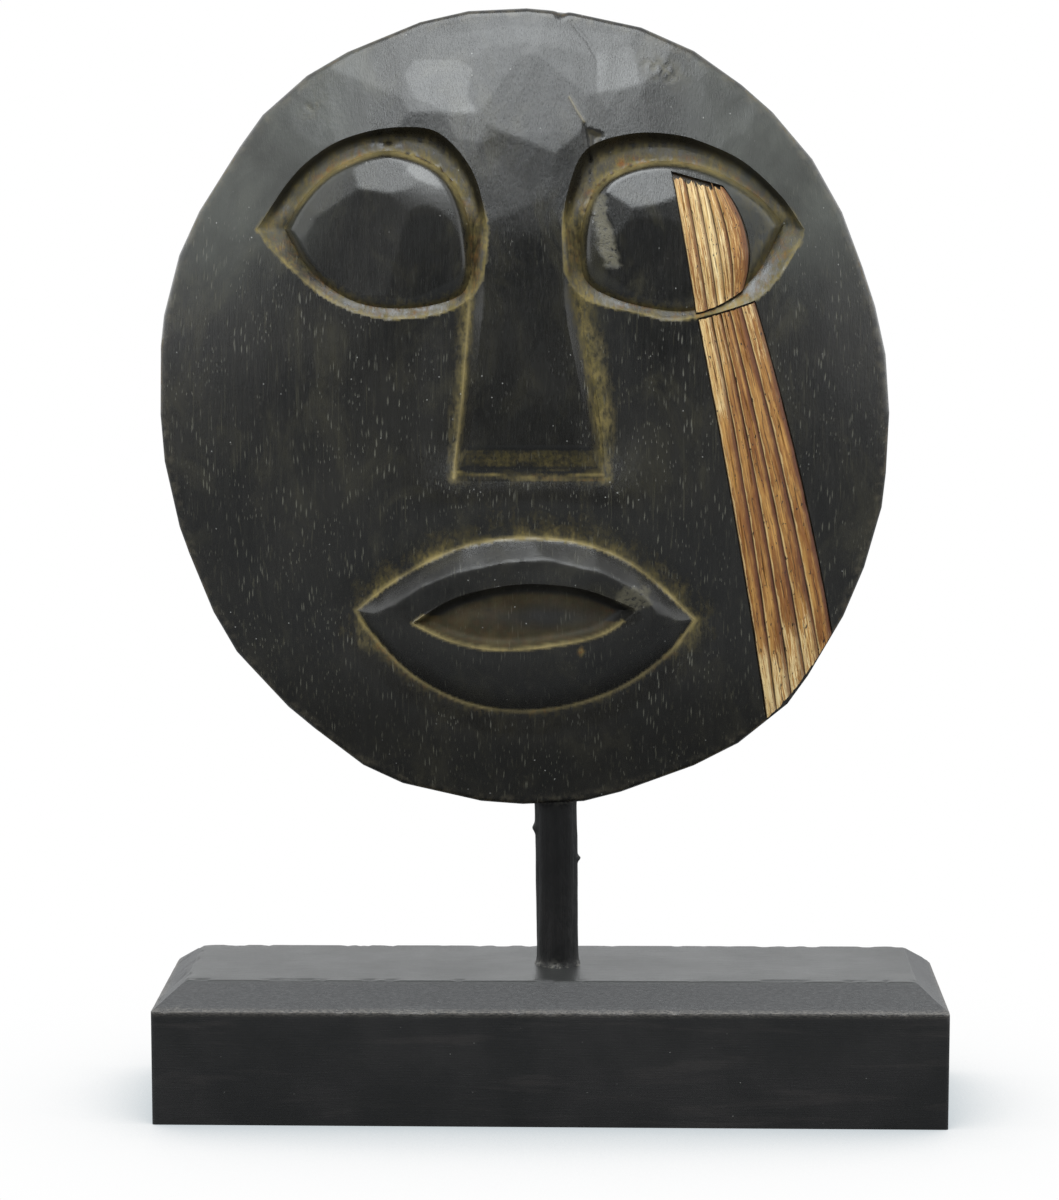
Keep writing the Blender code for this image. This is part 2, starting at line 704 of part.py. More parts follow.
def build_mask(finish):
    outline = rim_outline()
    flat, faces = face_triangles([drawn_in(p, RIM_ROUND) for p in outline])

    shell = bmesh.new()
    front = []
    for x, z in flat:
        near_rim = math.hypot(x, z) > rim_radius(x, z) - RIM_BAND
        front.append(shell.verts.new(on_mask(x, z, RIM_FRONT if near_rim else relief(x, z))))
    for face in faces:
        shell.faces.new([front[i] for i in face])

    # The triangulation keeps the input order, so the front ring comes first.
    rings = [front[:len(outline)]]
    for inset, out in EDGE_RINGS:
        rings.append([shell.verts.new(on_mask(*drawn_in(p, inset), out)) for p in outline])
    for share, out in HOLLOW_RINGS:
        rings.append([
            shell.verts.new(on_mask(x * share, z * share + HOLLOW_Z * (1 - share), out))
            for x, z in outline
        ])
    join_rings(shell, rings)
    middle = shell.verts.new(on_mask(0, HOLLOW_Z, RIM_BACK + HOLLOW_DEPTH))
    last = rings[-1]
    for i in range(len(last)):
        shell.faces.new((last[i], last[(i + 1) % len(last)], middle))
    mask = add_object("mask_body", shell, finish)

    low, high = MASK_FOOT - BORE_UNDER_MASK, MASK_FOOT + POST_INTO_MASK + GAP
    cut(mask, post_cutter("mask_bore_cutter", low, high))
    cut(mask, seat_cutter(
        "cheek_seat_cutter", cheek_band, first=-GAP / CHEEK_BAND_LENGTH,
        last=CHEEK_SEAT_END, above=CHEEK_CUT_ABOVE,
    ))
    end_gap = GAP / EYE_BAND_LENGTH
    cut(mask, seat_cutter(
        "eye_seat_cutter", eye_band, first=-end_gap, last=1.0 + end_gap, above=EYE_CUT_ABOVE
    ))
    return mask


def material(name, colour, roughness):
    made = bpy.data.materials.new(name)
    made.use_nodes = True
    shader = made.node_tree.nodes["Principled BSDF"]
    shader.inputs["Base Color"].default_value = (*colour, 1.0)
    shader.inputs["Roughness"].default_value = roughness
    return made


def main():
    for old in list(bpy.data.objects):
        bpy.data.objects.remove(old, do_unlink=True)

    mask_wood = material("stained_wood", colour=(0.020, 0.019, 0.018), roughness=0.42)
    base_wood = material("stained_base_wood", colour=(0.030, 0.028, 0.028), roughness=0.55)
    post_wood = material("stained_post_wood", colour=(0.014, 0.013, 0.012), roughness=0.5)
    canes = [
        material("cane_straw", colour=(0.60, 0.42, 0.20), roughness=0.55),
        material("cane_honey", colour=(0.46, 0.26, 0.09), roughness=0.55),
        material("cane_amber", colour=(0.38, 0.19, 0.06), roughness=0.55),
    ]

    stand = bpy.data.objects.new("mask_on_stand", None)
    bpy.context.collection.objects.link(stand)
    pieces = [build_base(base_wood), build_mask(mask_wood), build_post(post_wood)]
    for piece in pieces + build_rods(canes):
        piece.parent = stand


main()
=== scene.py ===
"""A carved wooden mask with split cane rods, on a whittled post in a sawn base block.

The mask stands upright and faces -Y. Its face is described in millimetres: u across (+X) and
v up (+Z) from the middle of the disc, h out of the face (towards -Y). Left is -X, right is +X.
"""

import math

import bmesh
import bpy
import numpy as np
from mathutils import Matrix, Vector
from mathutils.geometry import delaunay_2d_cdt
from mathutils.kdtree import KDTree


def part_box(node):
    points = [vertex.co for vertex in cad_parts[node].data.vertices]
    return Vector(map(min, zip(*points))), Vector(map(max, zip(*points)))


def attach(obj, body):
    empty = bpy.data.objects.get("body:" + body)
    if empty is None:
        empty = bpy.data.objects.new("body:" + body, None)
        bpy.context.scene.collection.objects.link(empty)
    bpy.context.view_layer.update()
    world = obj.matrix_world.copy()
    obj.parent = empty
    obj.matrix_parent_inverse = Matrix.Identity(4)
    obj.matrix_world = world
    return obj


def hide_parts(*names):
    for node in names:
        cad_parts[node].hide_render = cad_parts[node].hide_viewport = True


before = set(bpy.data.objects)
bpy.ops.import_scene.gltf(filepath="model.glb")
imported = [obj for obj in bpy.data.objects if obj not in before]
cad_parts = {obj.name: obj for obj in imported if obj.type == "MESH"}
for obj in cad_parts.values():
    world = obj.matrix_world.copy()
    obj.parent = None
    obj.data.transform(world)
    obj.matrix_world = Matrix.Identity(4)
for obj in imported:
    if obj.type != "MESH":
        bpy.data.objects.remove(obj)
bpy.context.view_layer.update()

MM = 0.001
GAP = 0.3  # clearance between fitted parts

# ---------------------------------------------------------------- sizes, in millimetres

# The disc: a tilted superellipse with local swells (degrees, swell, spread in degrees)
HALF_WIDTH = 111.65
HALF_HEIGHT = 122.4
OVAL_TILT = math.radians(7.0)
OVAL_POWER = 2.097
RIM_SWELLS = (
    (309, 1.3, 9), (288, -0.8, 5), (338, -0.8, 8), (235, -0.9, 7),
    (172, 0.7, 8), (140, -0.9, 8), (50, 0.4, 7), (27, -0.4, 7),
)
RIM_FLATS = 44
RIM_FRONT = 10.6
RIM_ROUND = 2.2
CROWN = 14.0
CROWN_POWER = 2.4

# Eyes: closed outlines (u, v) of the lids and the eyeballs
SOCKET_DROP = (1.8, 5.4)  # below, above
BALL_PROUD = 0.8
BALL_EDGE = 3.0
BALL_HALF_WIDTH = 13.0
BALL_CROWN = 1.0
LEFT_LID = [
    (-81, 56), (-70.5, 71.3), (-60.5, 80), (-50.5, 84.5), (-38, 86.7), (-25.5, 85), (-15.5, 74),
    (-11.3, 60), (-11, 51), (-13, 39.5), (-20.5, 32.5), (-32, 29.7), (-46, 30), (-61, 36.3),
    (-76, 49.5),
]
LEFT_BALL = [
    (-72.8, 56), (-68.2, 64), (-60.4, 72.2), (-50.7, 77.6), (-40.2, 79.6), (-29.7, 76.8),
    (-21.9, 71), (-17.6, 62), (-15.9, 52), (-16, 42), (-19, 36.4), (-27, 33.4), (-37, 32.3),
    (-48, 33.4), (-57.5, 37.6), (-66, 45),
]
RIGHT_LID = [
    (85, 56), (78, 66), (67, 76), (56, 81.5), (45.5, 84.5), (32, 84.7), (19, 80), (13.5, 67.5),
    (12, 54.5), (13.3, 42), (20, 34.7), (35, 31), (45.5, 29), (59, 31.3), (72.5, 36.5), (83, 50.5),
]
RIGHT_BALL = [
    (79, 57.2), (73, 64.4), (64.7, 70.2), (55.6, 74.4), (45.3, 76.6), (35, 75.8), (25.8, 72.2),
    (20.8, 66.5), (18, 58.5), (17.2, 49), (19, 40.8), (26, 36), (38, 32.6), (50, 31.6), (61, 34.8),
    (70.5, 42.4),
]

# Nose: levels, then tables (v, u) of its front edges and of the creases beside it
NOSE_TIP_H = 27.5
NOSE_BRIDGE_V = 64.0
NOSE_TIP_V = -9.0
NOSE_BEVEL_V = -15.8
NOSE_FOOT_V = -19.6
NOSE_BEVEL_DROP = 3.6
NOSE_FRONT_LEFT = [(64, -10.3), (38.5, -11.5), (11.5, -14), (-9, -16), (-16, -19.4)]
NOSE_FRONT_RIGHT = [(64, 11.2), (42, 12), (27.5, 13.5), (2, 18.8), (-9, 20.2), (-16, 22.8)]
NOSE_CREASE_LEFT = [(64, -14.6), (38.5, -15.9), (5, -18.5), (-17, -21), (-20, -21)]
NOSE_CREASE_RIGHT = [(64, 13.8), (38, 15), (23.5, 19), (8.5, 22), (-6, 24.2), (-20, 25.2)]
# Outline (u, v) round the nose, from which the hollow beside it is measured
NOSE_LOOP = [
    (-15.9, 46), (-15.9, 38.5), (-18.5, 5), (-21, -17), (-21, -19.6), (25.2, -19.6),
    (24.2, -6), (22, 8.5), (19, 23.5), (15, 38), (14.6, 46),
]

# Mouth: closed outlines (u, v) of the lips and of the slot between them
LIP_FURROW = 2.6
LIP_RISE = 6.4
FURROW_WIDTH = 7.0
LIPS = [
    (-51.5, -60.5), (-41, -52), (-27, -43.8), (-12.5, -38.7), (5.5, -37.5), (22, -40.3),
    (37, -48.2), (52.7, -63), (44.5, -73.5), (30.5, -84), (13, -90.3), (-4, -91.7),
    (-20, -88.5), (-35, -80.2), (-47, -67.5),
]
SLOT = [
    (-34, -63.5), (-22, -56), (-8, -52), (5, -51), (20, -53), (35, -59), (24, -66.8),
    (8, -70.4), (-8, -71.6), (-22, -69),
]
SLOT_DEPTH = 4.4

# Rods: how each band is shared out, and the corners (u, v) where it starts and ends
RODS = 5
CHEEK_SPLITS_TOP = (0.0, 0.24, 0.40, 0.56, 0.76, 1.0)
CHEEK_SPLITS_END = (0.0, 0.12, 0.32, 0.54, 0.77, 1.0)
EYE_SPLITS = (0.0, 0.25, 0.46, 0.63, 0.79, 1.0)
ROD_THICKNESS = 2.2
ROD_PROUD = 0.5
ROD_STEP = 0.62
CHEEK_LENGTH = 128.0
EYE_LENGTH = 42.0
CHEEK_TOP = [(52.9, 29.2), (70.0, 34.4)]
CHEEK_END_ANGLES = (-51.6, -35.8)
CHEEK_BOW = (0.8, 1.5)
EYE_TOP = [(44.8, 73.2), (60.2, 69.0)]
EYE_BOTTOM = [(52.4, 30.8), (66.5, 37.8)]
EYE_BOW = (0.2, 4.2)
# Share of bare pith on each cheek rod: (at the top, how far down, at the end, from where)
CHEEK_BARE = (
    (0.62, 0.36, 0.85, 0.76), (0.42, 0.26, 0.62, 0.78), (0.3, 0.2, 0.60, 0.74),
    (0.0, 0.2, 0.62, 0.76), (0.4, 0.3, 0.35, 0.88),
)
EYE_BARE = (0.45, 0.65, 1.0, 0.55, 0.3)

# Post and base block
POST_SEAT_RADIUS = 6.5
BORE_RADIUS = POST_SEAT_RADIUS + GAP
BASE_SIDE = (35.6, 36.3)  # height of the upright sides at the left and right ends
CHAMFER_RISE = 7.4
CHAMFER_END_RUN = 9.7
CHAMFER_SIDE_RUN = 11.4

# Knife marks (u, v): over-cut at the inner end of the right brow, the chip beside it,
# a hairline check running in from the upper edge, and a scratch below it
NOTCH = [(18.3, 87.2), (19.4, 82.0), (20.3, 76.6)]
CHIP = [(18.3, 87.0), (25.4, 84.8), (22.8, 81.2), (20.6, 77.4)]
CHECK = [(14.2, 118.4), (16.4, 115.6), (19.3, 112.4), (22.4, 106.6), (22, 97), (21.6, 90.6)]
SCRATCH = [(13.8, 95.8), (16.0, 91.9), (18.3, 88.3)]

# Flat facets of the last knife cuts: u, v, depth, extra tilt along u and v, own reach if any
FOREHEAD_FACETS = [
    (3, 98.5, 0.62, 0, 0.012), (-24, 93, 0.52, 0, -0.052, 60),
    (-28.5, 108, 0.95, 0.02, -0.03, 60), (-35, 97, 0.36, 0.03, 0),
    (27.5, 101, 0.55, 0.01, -0.05, 60), (24, 88, 0.4, -0.02, -0.01), (37, 95, 0.4, -0.02, 0.01),
    (-13, 116.5, 0.34, 0, -0.02), (7, 116, 0.5, 0, -0.01), (27, 114, 0.42, 0, 0.01),
    (2, 80, 0.42, 0.02, 0.01), (-13, 78, 0.4, 0.03, -0.01), (13, 76, 0.36, -0.03, 0.01),
    (45, 104, 0.26, 0, 0), (-46, 103, 0.26, 0, 0), (58, 95, 0.22, 0, 0), (-60, 93, 0.22, 0, 0),
    (-1, 66, 0.2, 0, 0, 30),
]
BALL_FACETS = [
    (-47, 59.5, 0.62, 0.02, 0.05, 40), (-29.5, 55, 0.62, -0.02, 0.06, 40),
    (-27.5, 71.8, 0.42, 0.02, -0.03), (-41.5, 74, 0.5, 0, -0.01), (-56, 69.5, 0.4, 0.03, 0.01),
    (-65.5, 60, 0.3, 0.02, 0.02), (-52, 44, 0.3, 0, 0.03, 16), (-30, 40.5, 0.3, 0, 0.03, 16),
    (36, 69, 0.5, 0, -0.03, 16), (39, 52, 0.5, 0, 0.055, 40), (24.5, 60, 0.3, -0.03, 0.01, 12),
    (51, 70.5, 0.35, 0, -0.01), (69, 57, 0.3, 0.02, 0, 16), (25.5, 46, 0.25, -0.02, 0.02, 12),
    (45, 39, 0.3, 0, 0.03, 16), (62, 46, 0.3, 0.02, 0.02, 16),
]
LIP_FACETS = [
    (-37, -51.8, 0.16, -0.02, -0.02), (-26, -46.6, 0.2, -0.02, -0.05),
    (-14.5, -42.6, 0.22, 0, -0.06), (-3, -41.2, 0.18, 0, -0.03), (8, -41.4, 0.2, 0, -0.07),
    (19, -43.4, 0.22, 0.02, -0.05), (29.5, -48, 0.18, 0.03, -0.04),
    (39.5, -54.5, 0.18, 0.03, -0.02), (-26, -53.5, 0.22, -0.01, 0.02),
    (-8, -48.6, 0.22, 0, 0.03), (9, -47.4, 0.24, 0, -0.05), (24, -50.5, 0.2, 0, 0.03),
    (-40, -62, 0.12, 0, 0), (-30, -74, 0.12, 0, 0), (-14, -80.5, 0.14, 0, 0),
    (4, -82, 0.12, 0, 0), (22, -78.5, 0.14, 0, 0), (38, -70, 0.12, 0, 0),
]

# Areas polished more, or less, than the rest: outline (u, v), strength
POLISH = [
    ([(-33, 107), (-20, 107), (-15.5, 104), (-17, 96), (-10, 85), (-12, 82), (-20, 83.5),
      (-25, 92), (-33, 95.5), (-36, 102)], 0.55),
    ([(-24, 91), (-16, 93), (-10, 85), (-12, 82), (-19, 83)], 0.35),
    ([(22, 109), (33, 111), (35, 99.5), (29, 97.5), (25, 92), (22.5, 96)], 0.60),
    ([(-29, 114), (-5, 117), (14, 116), (34, 114), (31, 110), (20, 108.5), (6, 111.5),
      (-9, 111), (-17, 107), (-29, 107.5)], 0.22),
    ([(-17, 104), (-9, 110.5), (6, 111), (21, 108), (22, 96), (18, 85), (2, 86.5), (-9, 87),
      (-16, 95)], -0.10),
    ([(-12, 83), (18, 86), (16, 77), (2, 68), (-10, 79)], -0.30),
    ([(-34, 75.5), (-25, 73), (-19.5, 67.5), (-26, 68.5), (-36, 72.5)], 0.55),
    ([(22, 68), (30, 74.5), (44, 76), (46, 66), (40, 64), (27, 64.5)], 0.25),
]
# Rough chipped patches: outline (u, v), strength
PATCHES = [
    ([(21.5, 66.5), (24.6, 66), (25.2, 60), (28.6, 49.5), (28.9, 45.5), (25.6, 44.8), (22.8, 52),
      (21.6, 59)], 1.0),
    ([(30.5, -51.5), (38.5, -52.5), (39, -57.5), (33, -59.5), (28, -56.5)], 0.7),
]


# ---------------------------------------------------------------- numeric tools


def lerp(first, last, share):
    return first + (last - first) * share


def smooth(share):
    share = np.clip(share, 0.0, 1.0)
    return share * share * (3.0 - 2.0 * share)


def near(away, reach):
    """1 at no distance, easing to 0 at `reach`."""
    return smooth(1 - away / reach)


def bell(away, width):
    return np.exp(-((away / width) ** 2))


def fade(away, reach):
    """Exponential fall beyond 0, 1 before it."""
    return np.exp(-np.maximum(away, 0) / reach)


def swell(share, power=2):
    """0 to 1, steep first and level at the end."""
    return 1.0 - (1.0 - np.clip(share, 0, 1)) ** power


def lattice_value(column, row, seed):
    mixed = (column * 374761393 + row * 668265263 + seed * 144269504) & 0xFFFFFFFF
    mixed = ((mixed ^ (mixed >> 13)) * 1274126177) & 0xFFFFFFFF
    return ((mixed ^ (mixed >> 16)) & 0xFFFF) / 65535.0


def noise(x, y, seed=0):
    """Smooth value noise, 0 to 1."""
    x, y = np.asarray(x, float), np.asarray(y, float)
    column, row = np.floor(x).astype(np.int64), np.floor(y).astype(np.int64)
    share_x, share_y = smooth(x - column), smooth(y - row)
    rows = [
        lerp(lattice_value(column, k, seed), lattice_value(column + 1, k, seed), share_x)
        for k in (row, row + 1)
    ]
    return lerp(*rows, share_y)


def layered(x, y, seed=0, octaves=3):
    total, weight, size = 0.0, 0.0, 1.0
    for k in range(octaves):
        octave = noise(np.asarray(x) * 2**k, np.asarray(y) * 2**k, seed + 17 * k)
        total = total + size * octave
        weight += size
        size *= 0.5
    return total / weight


def uneven(x, y, seed, octaves=3):
    """Layered noise about 0."""
    return layered(x, y, seed, octaves) - 0.5


def oval(angle):
    """Radius of the disc at an angle."""
    wide = np.abs(np.cos(angle - OVAL_TILT)) / HALF_WIDTH
    tall = np.abs(np.sin(angle - OVAL_TILT)) / HALF_HEIGHT
    radius = (wide**OVAL_POWER + tall**OVAL_POWER) ** (-1.0 / OVAL_POWER)
    for middle, height, spread in RIM_SWELLS:
        away = (np.degrees(angle) - middle + 180.0) % 360.0 - 180.0
        radius = radius + height * bell(away, spread)
    return radius


def disc_share(u, v):
    """0 in the middle of the disc, 1 on its outline."""
    return np.hypot(u, v) / oval(np.arctan2(v, u))


def rim_corners():
    """Corners between the unequal flats of the rim."""
    found = []
    for i in range(RIM_FLATS):
        angle = 2 * math.pi * (i + 0.28 * math.sin(2.3 * i) * math.cos(0.9 * i)) / RIM_FLATS
        radius = float(oval(angle)) + 0.35 * math.sin(1.7 * i)
        found.append((radius * math.cos(angle), radius * math.sin(angle)))
    return found


def curve_through(points, corners=(0,), per_span=8):
    """A closed Catmull-Rom curve through the points, sharp at the numbered ones."""
    count = len(points)
    found = []
    for i in range(count):
        before, start, end, after = (points[(i + k) % count] for k in (-1, 0, 1, 2))
        if i in corners:
            before = (2 * start[0] - end[0], 2 * start[1] - end[1])
        if (i + 1) % count in corners:
            after = (2 * end[0] - start[0], 2 * end[1] - start[1])
        for k in range(per_span):
            t = k / per_span
            found.append(tuple(
                0.5 * (2 * b + (c - a) * t + (2 * a - 5 * b + 4 * c - d) * t * t
                       + (3 * b - a - 3 * c + d) * t**3)
                for a, b, c, d in zip(before, start, end, after)
            ))
    return found


def inside(loop, u, v, reach):
    """Distance to the closed loop, positive inside; points further than `reach` get -reach."""
    ends = np.asarray(loop, float)
    starts = np.roll(ends, 1, axis=0)
    step = ends - starts
    squared = (step**2).sum(1)
    found = np.full(len(u), -reach, float)
    low, high = ends.min(0) - reach, ends.max(0) + reach
    close = np.nonzero((u > low[0]) & (u < high[0]) & (v > low[1]) & (v < high[1]))[0]
    block = 6000  # points measured at once, to spare memory
    for first in range(0, len(close), block):
        k = close[first : first + block]
        from_u, from_v = u[k][:, None] - starts[:, 0], v[k][:, None] - starts[:, 1]
        share = np.clip((from_u * step[:, 0] + from_v * step[:, 1]) / squared, 0, 1)
        gap_u, gap_v = from_u - share * step[:, 0], from_v - share * step[:, 1]
        distance = np.sqrt((gap_u**2 + gap_v**2).min(1))
        crosses = (starts[:, 1] > v[k][:, None]) != (ends[:, 1] > v[k][:, None])
        slope_v = np.where(step[:, 1] == 0, 1e-12, step[:, 1])
        crossing_u = starts[:, 0] + from_v * step[:, 0] / slope_v
        odd = (crosses & (u[k][:, None] < crossing_u)).sum(1) % 2 == 1
        found[k] = np.where(odd, distance, -np.minimum(distance, reach))
    return found


def to_line(points, u, v):
    """(distance, share of the way along) to an open line of points."""
    points = np.asarray(points, float)
    steps = np.sqrt(((points[1:] - points[:-1]) ** 2).sum(1))
    ends = np.concatenate([[0], np.cumsum(steps)]) / steps.sum()
    best, share = np.full(np.shape(u), 1e9), np.zeros(np.shape(u))
    for i, (start, end) in enumerate(zip(points, points[1:])):
        step = end - start
        part = ((u - start[0]) * step[0] + (v - start[1]) * step[1]) / (step @ step)
        part = np.clip(part, 0, 1)
        distance = np.hypot(u - start[0] - part * step[0], v - start[1] - part * step[1])
        closer = distance < best
        best = np.where(closer, distance, best)
        share = np.where(closer, lerp(ends[i], ends[i + 1], part), share)
    return best, share


def along(table, v):
    """The u of a nose table at v."""
    rows = np.array(table, float)[::-1]
    return np.interp(v, rows[:, 0], rows[:, 1])


def spot(u, v, middle_u, middle_v, radius_u, radius_v, turn=0.0):
    """A soft elliptical spot, 1 in its middle, turned by degrees."""
    cos, sin = math.cos(math.radians(turn)), math.sin(math.radians(turn))
    wide = (u - middle_u) * cos + (v - middle_v) * sin
    tall = -(u - middle_u) * sin + (v - middle_v) * cos
    return np.exp(-((wide / radius_u) ** 2) - (tall / radius_v) ** 2)


# ---------------------------------------------------------------- the carved relief

EYES = [
    (curve_through(lid), curve_through(ball))
    for lid, ball in ((LEFT_LID, LEFT_BALL), (RIGHT_LID, RIGHT_BALL))
]
lips_loop = curve_through(LIPS, (0, 7))
slot_loop = curve_through(SLOT, (0, 5))


def scallops(u, v, seed, count, size, depth):
    """Shallow overlapping gouge cuts: how much is taken off at each point."""
    rng = np.random.default_rng(seed)
    taken = np.zeros_like(u)
    for _ in range(count):
        middle_u, middle_v = rng.uniform(-112, 112), rng.uniform(-123, 123)
        length, width = size * rng.uniform(0.8, 1.5), size * rng.uniform(0.35, 0.6)
        turn, deepest = rng.normal(0, 0.5), depth * rng.uniform(0.5, 1.0)
        from_u, from_v = u - middle_u, v - middle_v
        k = np.nonzero((np.abs(from_u) < length) & (np.abs(from_v) < length))[0]
        over = from_u[k] * math.cos(turn) + from_v[k] * math.sin(turn)
        down = -from_u[k] * math.sin(turn) + from_v[k] * math.cos(turn)
        cut = deepest * (1 - (over / width) ** 2 - (down / length) ** 2)
        taken[k] = np.maximum(taken[k], cut)
    return taken


def plain_dome(u, v):
    return RIM_FRONT + CROWN * (1.0 - np.minimum(disc_share(u, v), 1.02) ** CROWN_POWER)


def plane_at(surface, u, v, step=1.5):
    """Height and slopes of a surface function at a point."""
    h = surface(np.array([u, u + step, u - step, u, u]), np.array([v, v, v, v + step, v - step]))
    return h[0], (h[1] - h[2]) / (2 * step), (h[3] - h[4]) / (2 * step)


def planed(h, u, v, surface, facets, reach, hollow, region=True):
    """Cuts slightly hollow facets into h, each tilted from the tangent plane of `surface`."""
    h = h.copy()
    for middle_u, middle_v, depth, tilt_u, tilt_v, *own in facets:
        level, slope_u, slope_v = plane_at(surface, float(middle_u), float(middle_v))
        away = np.hypot(u - middle_u, v - middle_v)
        k = np.nonzero((away < (own[0] if own else reach)) & region)[0]
        plane = level - depth + (slope_u + tilt_u) * (u[k] - middle_u)
        plane += (slope_v + tilt_v) * (v[k] - middle_v) + hollow * away[k] ** 2
        h[k] = np.minimum(h[k], plane)
    return h


def dome(u, v):
    """The crowned face with its knife facets."""
    h = planed(plain_dome(u, v), u, v, plain_dome, FOREHEAD_FACETS, reach=34, hollow=0.0002)
    # The gouge cuts are strongest on the forehead and near the edge.
    to_edge = smooth((np.hypot(u, v) / 118 - 0.78) / 0.2)
    strength = 0.25 + 0.35 * smooth((v - 55) / 30) + 0.3 * to_edge
    return h - strength * scallops(u, v, seed=7, count=460, size=15.0, depth=0.16)


def socket_drop(v):
    return lerp(*SOCKET_DROP, smooth((v - 33.0) / 24.0))


def eye_floor(lid_in, ball_in, v):
    """Lid to eyeball: a steep wall and a flat floor above, a gentle slope below."""
    share = lid_in / np.maximum(lid_in - ball_in, 1e-6)
    slope = np.clip(share, 0, 1) ** 0.85
    return -socket_drop(v) * lerp(slope, swell(share / 0.5), smooth((v - 54) / 12))


def ball_rise(ball_in, v):
    crown = swell((ball_in - 1.5) / (BALL_HALF_WIDTH - 1.5))
    edge = swell(ball_in / BALL_EDGE)
    return (socket_drop(v) + BALL_PROUD - BALL_CROWN) * edge + BALL_CROWN * crown


def ball_surface(u, v):
    total = plain_dome(u, v)
    for _, ball in EYES:
        ball_in = inside(ball, u, v, 20)
        total = total + np.where(ball_in > 0, -socket_drop(v) + ball_rise(ball_in, v), 0.0)
    return total


def mouth_middle(u):
    """The v of the line between the corners of the mouth."""
    return -60.5 - 0.024 * (u + 51.5)


def mouth(u, v, lip_in, slot_in):
    """Height over the dome: a furrow round the lips, a ridged upper and a round lower lip."""
    upper_share = smooth((v - mouth_middle(u) + 3.0) / 6.0)
    share = lip_in / np.maximum(lip_in - slot_in, 1e-6)
    ridge = 0.45 + 0.30 * uneven(u / 8.0, 4.5, 51, 2)
    slot_edge = 0.88  # height of the upper lip at the slot, as a share of the rise
    climb, roll = share / ridge, lerp(1.0, slot_edge, (share - ridge) / (1 - ridge))
    sharpness = 26.0
    upper = -np.log(np.exp(-sharpness * climb) + np.exp(-sharpness * roll)) / sharpness
    lip = -LIP_FURROW + LIP_RISE * lerp(swell(share / 0.8, 1.7), upper, upper_share)
    edge = -LIP_FURROW + LIP_RISE * lerp(1.0, slot_edge, upper_share)
    hole = edge - SLOT_DEPTH * lerp(swell(slot_in / 3.2), swell(slot_in / 3.4), upper_share)
    furrow = -LIP_FURROW * bell(lip_in, FURROW_WIDTH)
    return np.where(lip_in < 0, furrow, np.where(slot_in < 0, lip, hole))


def mouth_surface(u, v):
    lip_in, slot_in = inside(lips_loop, u, v, 24), inside(slot_loop, u, v, 40)
    return plain_dome(u, v) + mouth(u, v, lip_in, slot_in)


def nose(u, v, cheek):
    """The wedge of the nose raised from the cheek heights."""
    left, right = along(NOSE_FRONT_LEFT, v), along(NOSE_FRONT_RIGHT, v)
    crease_left, crease_right = along(NOSE_CREASE_LEFT, v), along(NOSE_CREASE_RIGHT, v)
    down = np.clip((NOSE_BRIDGE_V - v) / (NOSE_BRIDGE_V - NOSE_TIP_V), 0, 1)
    bevel = np.clip((NOSE_TIP_V - v) / (NOSE_TIP_V - NOSE_BEVEL_V), 0, 1)
    under = np.clip((NOSE_BEVEL_V - v) / (NOSE_BEVEL_V - NOSE_FOOT_V), 0, 1)
    top = lerp(plain_dome(0.5, NOSE_BRIDGE_V), NOSE_TIP_H, down) - NOSE_BEVEL_DROP * bevel
    top = lerp(top, cheek, under)
    side_left = lerp(cheek, top, np.clip((u - crease_left) / (left - crease_left), 0, 1))
    side_right = lerp(cheek, top, np.clip((crease_right - u) / (crease_right - right), 0, 1))
    made = np.where(u < left, side_left, np.where(u > right, side_right, top))
    made = lerp(cheek, made, smooth((NOSE_BRIDGE_V - v) / 20.0))
    return np.where((v > NOSE_BRIDGE_V) | (v < NOSE_FOOT_V), cheek, made)


def cheek_furrow(u, v):
    """The soft hollow beside the nose, shallower under its tip."""
    away = np.maximum(-inside(NOSE_LOOP, u, v, 50), 0.0)
    depth = lerp(0.5, 4.0, smooth((v + 28.0) / 24.0))
    return -depth * bell(away, 13.0) * smooth((48.0 - v) / 24.0)


def outlines(u, v):
    """Signed distances to the two lids, the two eyeballs, the lips and the slot."""
    lids = [inside(lid, u, v, 14) for lid, _ in EYES]
    balls = [inside(ball, u, v, 20) for _, ball in EYES]
    return lids, balls, inside(lips_loop, u, v, 24), inside(slot_loop, u, v, 40)


def small_marks(u, v):
    """How much the knife marks, dents and chipped patches take off."""
    distance, share = to_line(NOTCH, u, v)
    taken = 1.1 * near(distance, 0.8) * (0.25 + 0.75 * share)
    taken += 0.7 * smooth(inside(CHIP, u, v, 6) / 1.6)
    distance, share = to_line(CHECK, u, v)
    taken += 0.14 * near(distance, 0.5) * smooth((0.7 - share) / 0.4)
    taken -= 0.06 * near(to_line(SCRATCH, u, v)[0], 0.4)
    # Worm hole and dent.
    taken += 0.8 * spot(u, v, -41.2, 81.9, 2.4, 0.6, 3) + 0.12 * spot(u, v, 0.9, 110.5, 2.2, 1.4, 20)
    return taken + patch_share(u, v) * (0.05 + 0.42 * layered(u / 1.4, v / 2.2, 41))


